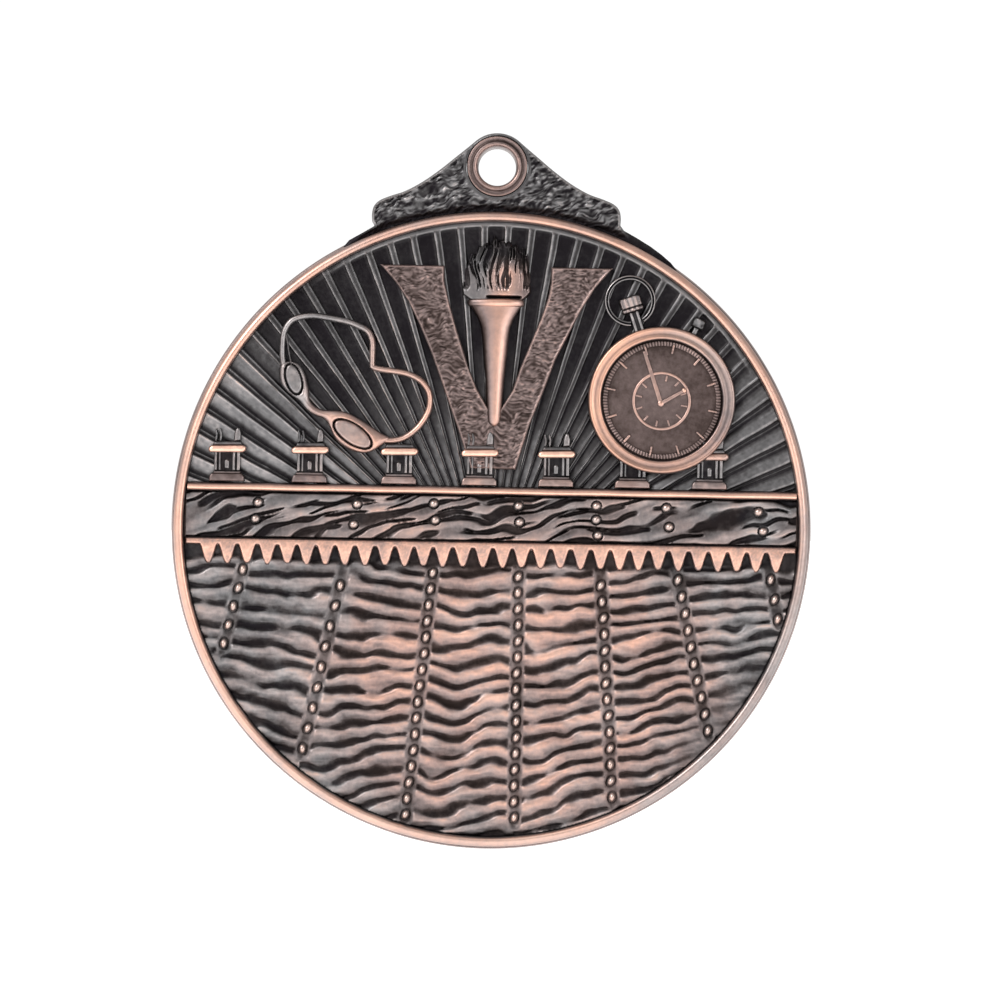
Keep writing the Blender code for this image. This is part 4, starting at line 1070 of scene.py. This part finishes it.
def goggles():
    """A frame with a lip and a well round each lens, and a strap that comes back to it."""
    def frame_shape(x, y, d):
        share = np.sqrt(1 - (1 - np.clip(d / 0.55, 0, 1)) ** 2)
        height = 0.82 + 0.42 * share
        rub = 0.28 + 0.38 * share + 0.08 * noise(x * 1.2, y * 1.2, 121)
        rub *= 0.8 + 0.2 * ramp(x, -15.6, -14.0)
        for _, centre, half_long, half_short, tilt in LENSES:
            u, v = leaned(x, y, centre, tilt)
            away = (np.hypot(u / half_long, v / half_short) - 1.0) * half_short
            well = 1 - ramp(away, 0.03, 0.09)
            lip = np.exp(-((away - 0.2) / 0.09) ** 2)
            height = blend(height, 0.86, well) + 0.05 * lip
            rub = blend(rub, 0.06, well) + 0.08 * lip
        return height, rub

    frame_relief = relief([smooth(FRAME_POINTS, 5, closed=True)], 0.07, frame_shape, SEAT)
    add("goggles_frame", frame_relief, GREYED, cool=lambda x, y: 0.8 * (1 - ramp(x, -15.6, -14.4)))
    for node, centre, half_long, half_short, tilt in LENSES:
        outline = oval(centre, half_long + 0.02, half_short + 0.02, tilt, 64)
        lens = slab(outline, 1.14, LENS_RUB[node], edge=0.24, side_rub=0.34)
        add(node, lens, GREYED, sharp=75,
            cool=lambda x, y: 0.25 + 0.65 * (1 - ramp(x, -15.0, -14.0)))

    path = smooth(STRAP_POINTS, 6)[:-1] + [STRAP_POINTS[-1], (-9.82, 13.2)] + smooth(STRAP_RETURN, 6)
    near_lens = smooth(((-16.35, 13.0), (-16.55, 13.9), (-16.7, 14.8), (-16.85, 15.5)), 6)
    section = half_round(0.28, SEAT, 1.12, 0.64, steps=10, edge=0.2)
    thin = half_round(0.1, SEAT, 1.02, 0.45, steps=8)
    wear_and_shade = [0.78 + 0.3 * float(ramp(x, -11.5, -8.5)) for x, _ in path]
    strap = join(sweep(path, section, wear_and_shade=wear_and_shade), sweep(near_lens, thin))
    add("goggles_strap", strap, GREYED, sharp=70, cool=lambda x, y: 0.9 * (1 - ramp(x, -10.8, -9.6)))


# ------------------------------ stage, light and camera
VIEW_SPAN = 0.08074             # what the camera sees across at the medal's face
DISC_LEFT, DISC_BELOW = 0.00069, 0.00238    # the disc's centre, from the middle of the view
FACE_TOP = -0.0012              # the relief, in front of the medal's middle plane
MEDAL_LEAN = math.radians(1.0)  # the medal leans to the right in the view
MEDAL_MIDDLE = (0, 0, -0.027)   # what the lamps point at
FLOOR_HALF = 3.0


def link_object(name, data):
    thing = bpy.data.objects.new(name, data)
    bpy.context.scene.collection.objects.link(thing)
    return thing


def white_floor():
    z = CAD_LOW.z - 0.0001
    corners = [(x, y, z) for x, y in box(-FLOOR_HALF, -FLOOR_HALF, FLOOR_HALF, FLOOR_HALF)]
    mesh = bpy.data.meshes.new("floor")
    mesh.from_pydata(corners, [], [(0, 1, 2, 3)])
    material = bpy.data.materials.new("white_table")
    material.use_nodes = True
    tree = material.node_tree
    fill(tree, tree.nodes["Principled BSDF"],
         {"Base Color": (0.92, 0.92, 0.92, 1), "Roughness": 0.7, "Emission Color": (1, 1, 1, 1),
          "Emission Strength": 0.8})
    mesh.materials.append(material)
    link_object("floor", mesh)


def light_tent():
    """A white tent, dimmer behind the camera and brighter at the upper left."""
    world = bpy.data.worlds.new("tent")
    bpy.context.scene.world = world
    world.use_nodes = True
    tree = world.node_tree
    tree.nodes.clear()
    make = maker(tree)
    where = make("TexCoord").outputs["Generated"]

    def towards(direction, low, high, bottom, top):
        """A value that goes from bottom to top as a ray turns towards the direction."""
        dot = make("VectorMath", {0: where, 1: Vector(direction).normalized()}, operation="DOT_PRODUCT")
        return make("MapRange", {"Value": dot.outputs["Value"], "From Min": low, "From Max": high,
                                 "To Min": bottom, "To Max": top},
                    interpolation_type="SMOOTHSTEP").outputs[0]

    dim_front = towards((0, -1, 0), 0.35, 0.92, 0.62, 0.2)
    bright_side = towards((-0.55, -0.55, 0.62), 0.55, 0.98, 0.0, 0.7)
    strength = make("Math", {0: dim_front, 1: bright_side}, operation="ADD").outputs[0]
    seen = make("Background", {"Color": (1, 1, 1, 1), "Strength": 1.05})
    lit = make("Background", {"Color": (1, 0.99, 0.98, 1), "Strength": strength})
    is_seen = make("LightPath").outputs["Is Camera Ray"]
    mix = make("MixShader", {"Fac": is_seen, 1: lit.outputs[0], 2: seen.outputs[0]})
    make("OutputWorld", {"Surface": mix.outputs[0]})


def lamp(name, place, size, power):
    data = bpy.data.lights.new(name, "AREA")
    data.shape = "DISK"
    data.size = size
    data.energy = power
    thing = link_object(name, data)
    thing.location = place
    thing.rotation_mode = "QUATERNION"
    thing.rotation_quaternion = (Vector(MEDAL_MIDDLE) - Vector(place)).to_track_quat("-Z", "Y")


def camera():
    data = bpy.data.cameras.new("camera")
    data.sensor_width = 36.0
    data.lens = 150.0
    data.clip_start, data.clip_end = 0.02, 20.0
    distance = VIEW_SPAN * data.lens / data.sensor_width
    middle = Vector((DISC_LEFT, FACE_TOP, DISC_BELOW - HOLE_HEIGHT * MM))
    thing = link_object("camera", data)
    thing.matrix_world = (Matrix.Translation(middle + Vector((0, -distance, 0)))
                          @ Matrix.Rotation(math.radians(90), 4, "X") @ Matrix.Rotation(MEDAL_LEAN, 4, "Z"))
    bpy.context.scene.camera = thing


def stage():
    white_floor()
    light_tent()
    lamp("key", (-0.42, -0.34, 0.34), 0.22, 2.5)
    lamp("fill", (0.45, -0.4, 0.05), 0.3, 1.0)
    camera()
    bpy.context.scene.view_settings.view_transform = "Standard"


def main():
    medal_body()
    rim()
    lug()
    eyelet()
    sunburst()
    near_water()
    far_water()
    ropes()
    ledge()
    pennants()
    starting_blocks()
    chevron()
    torch()
    flame()
    watch_case()
    watch_dial()
    watch_hands()
    watch_top()
    goggles()
    stage()


main()
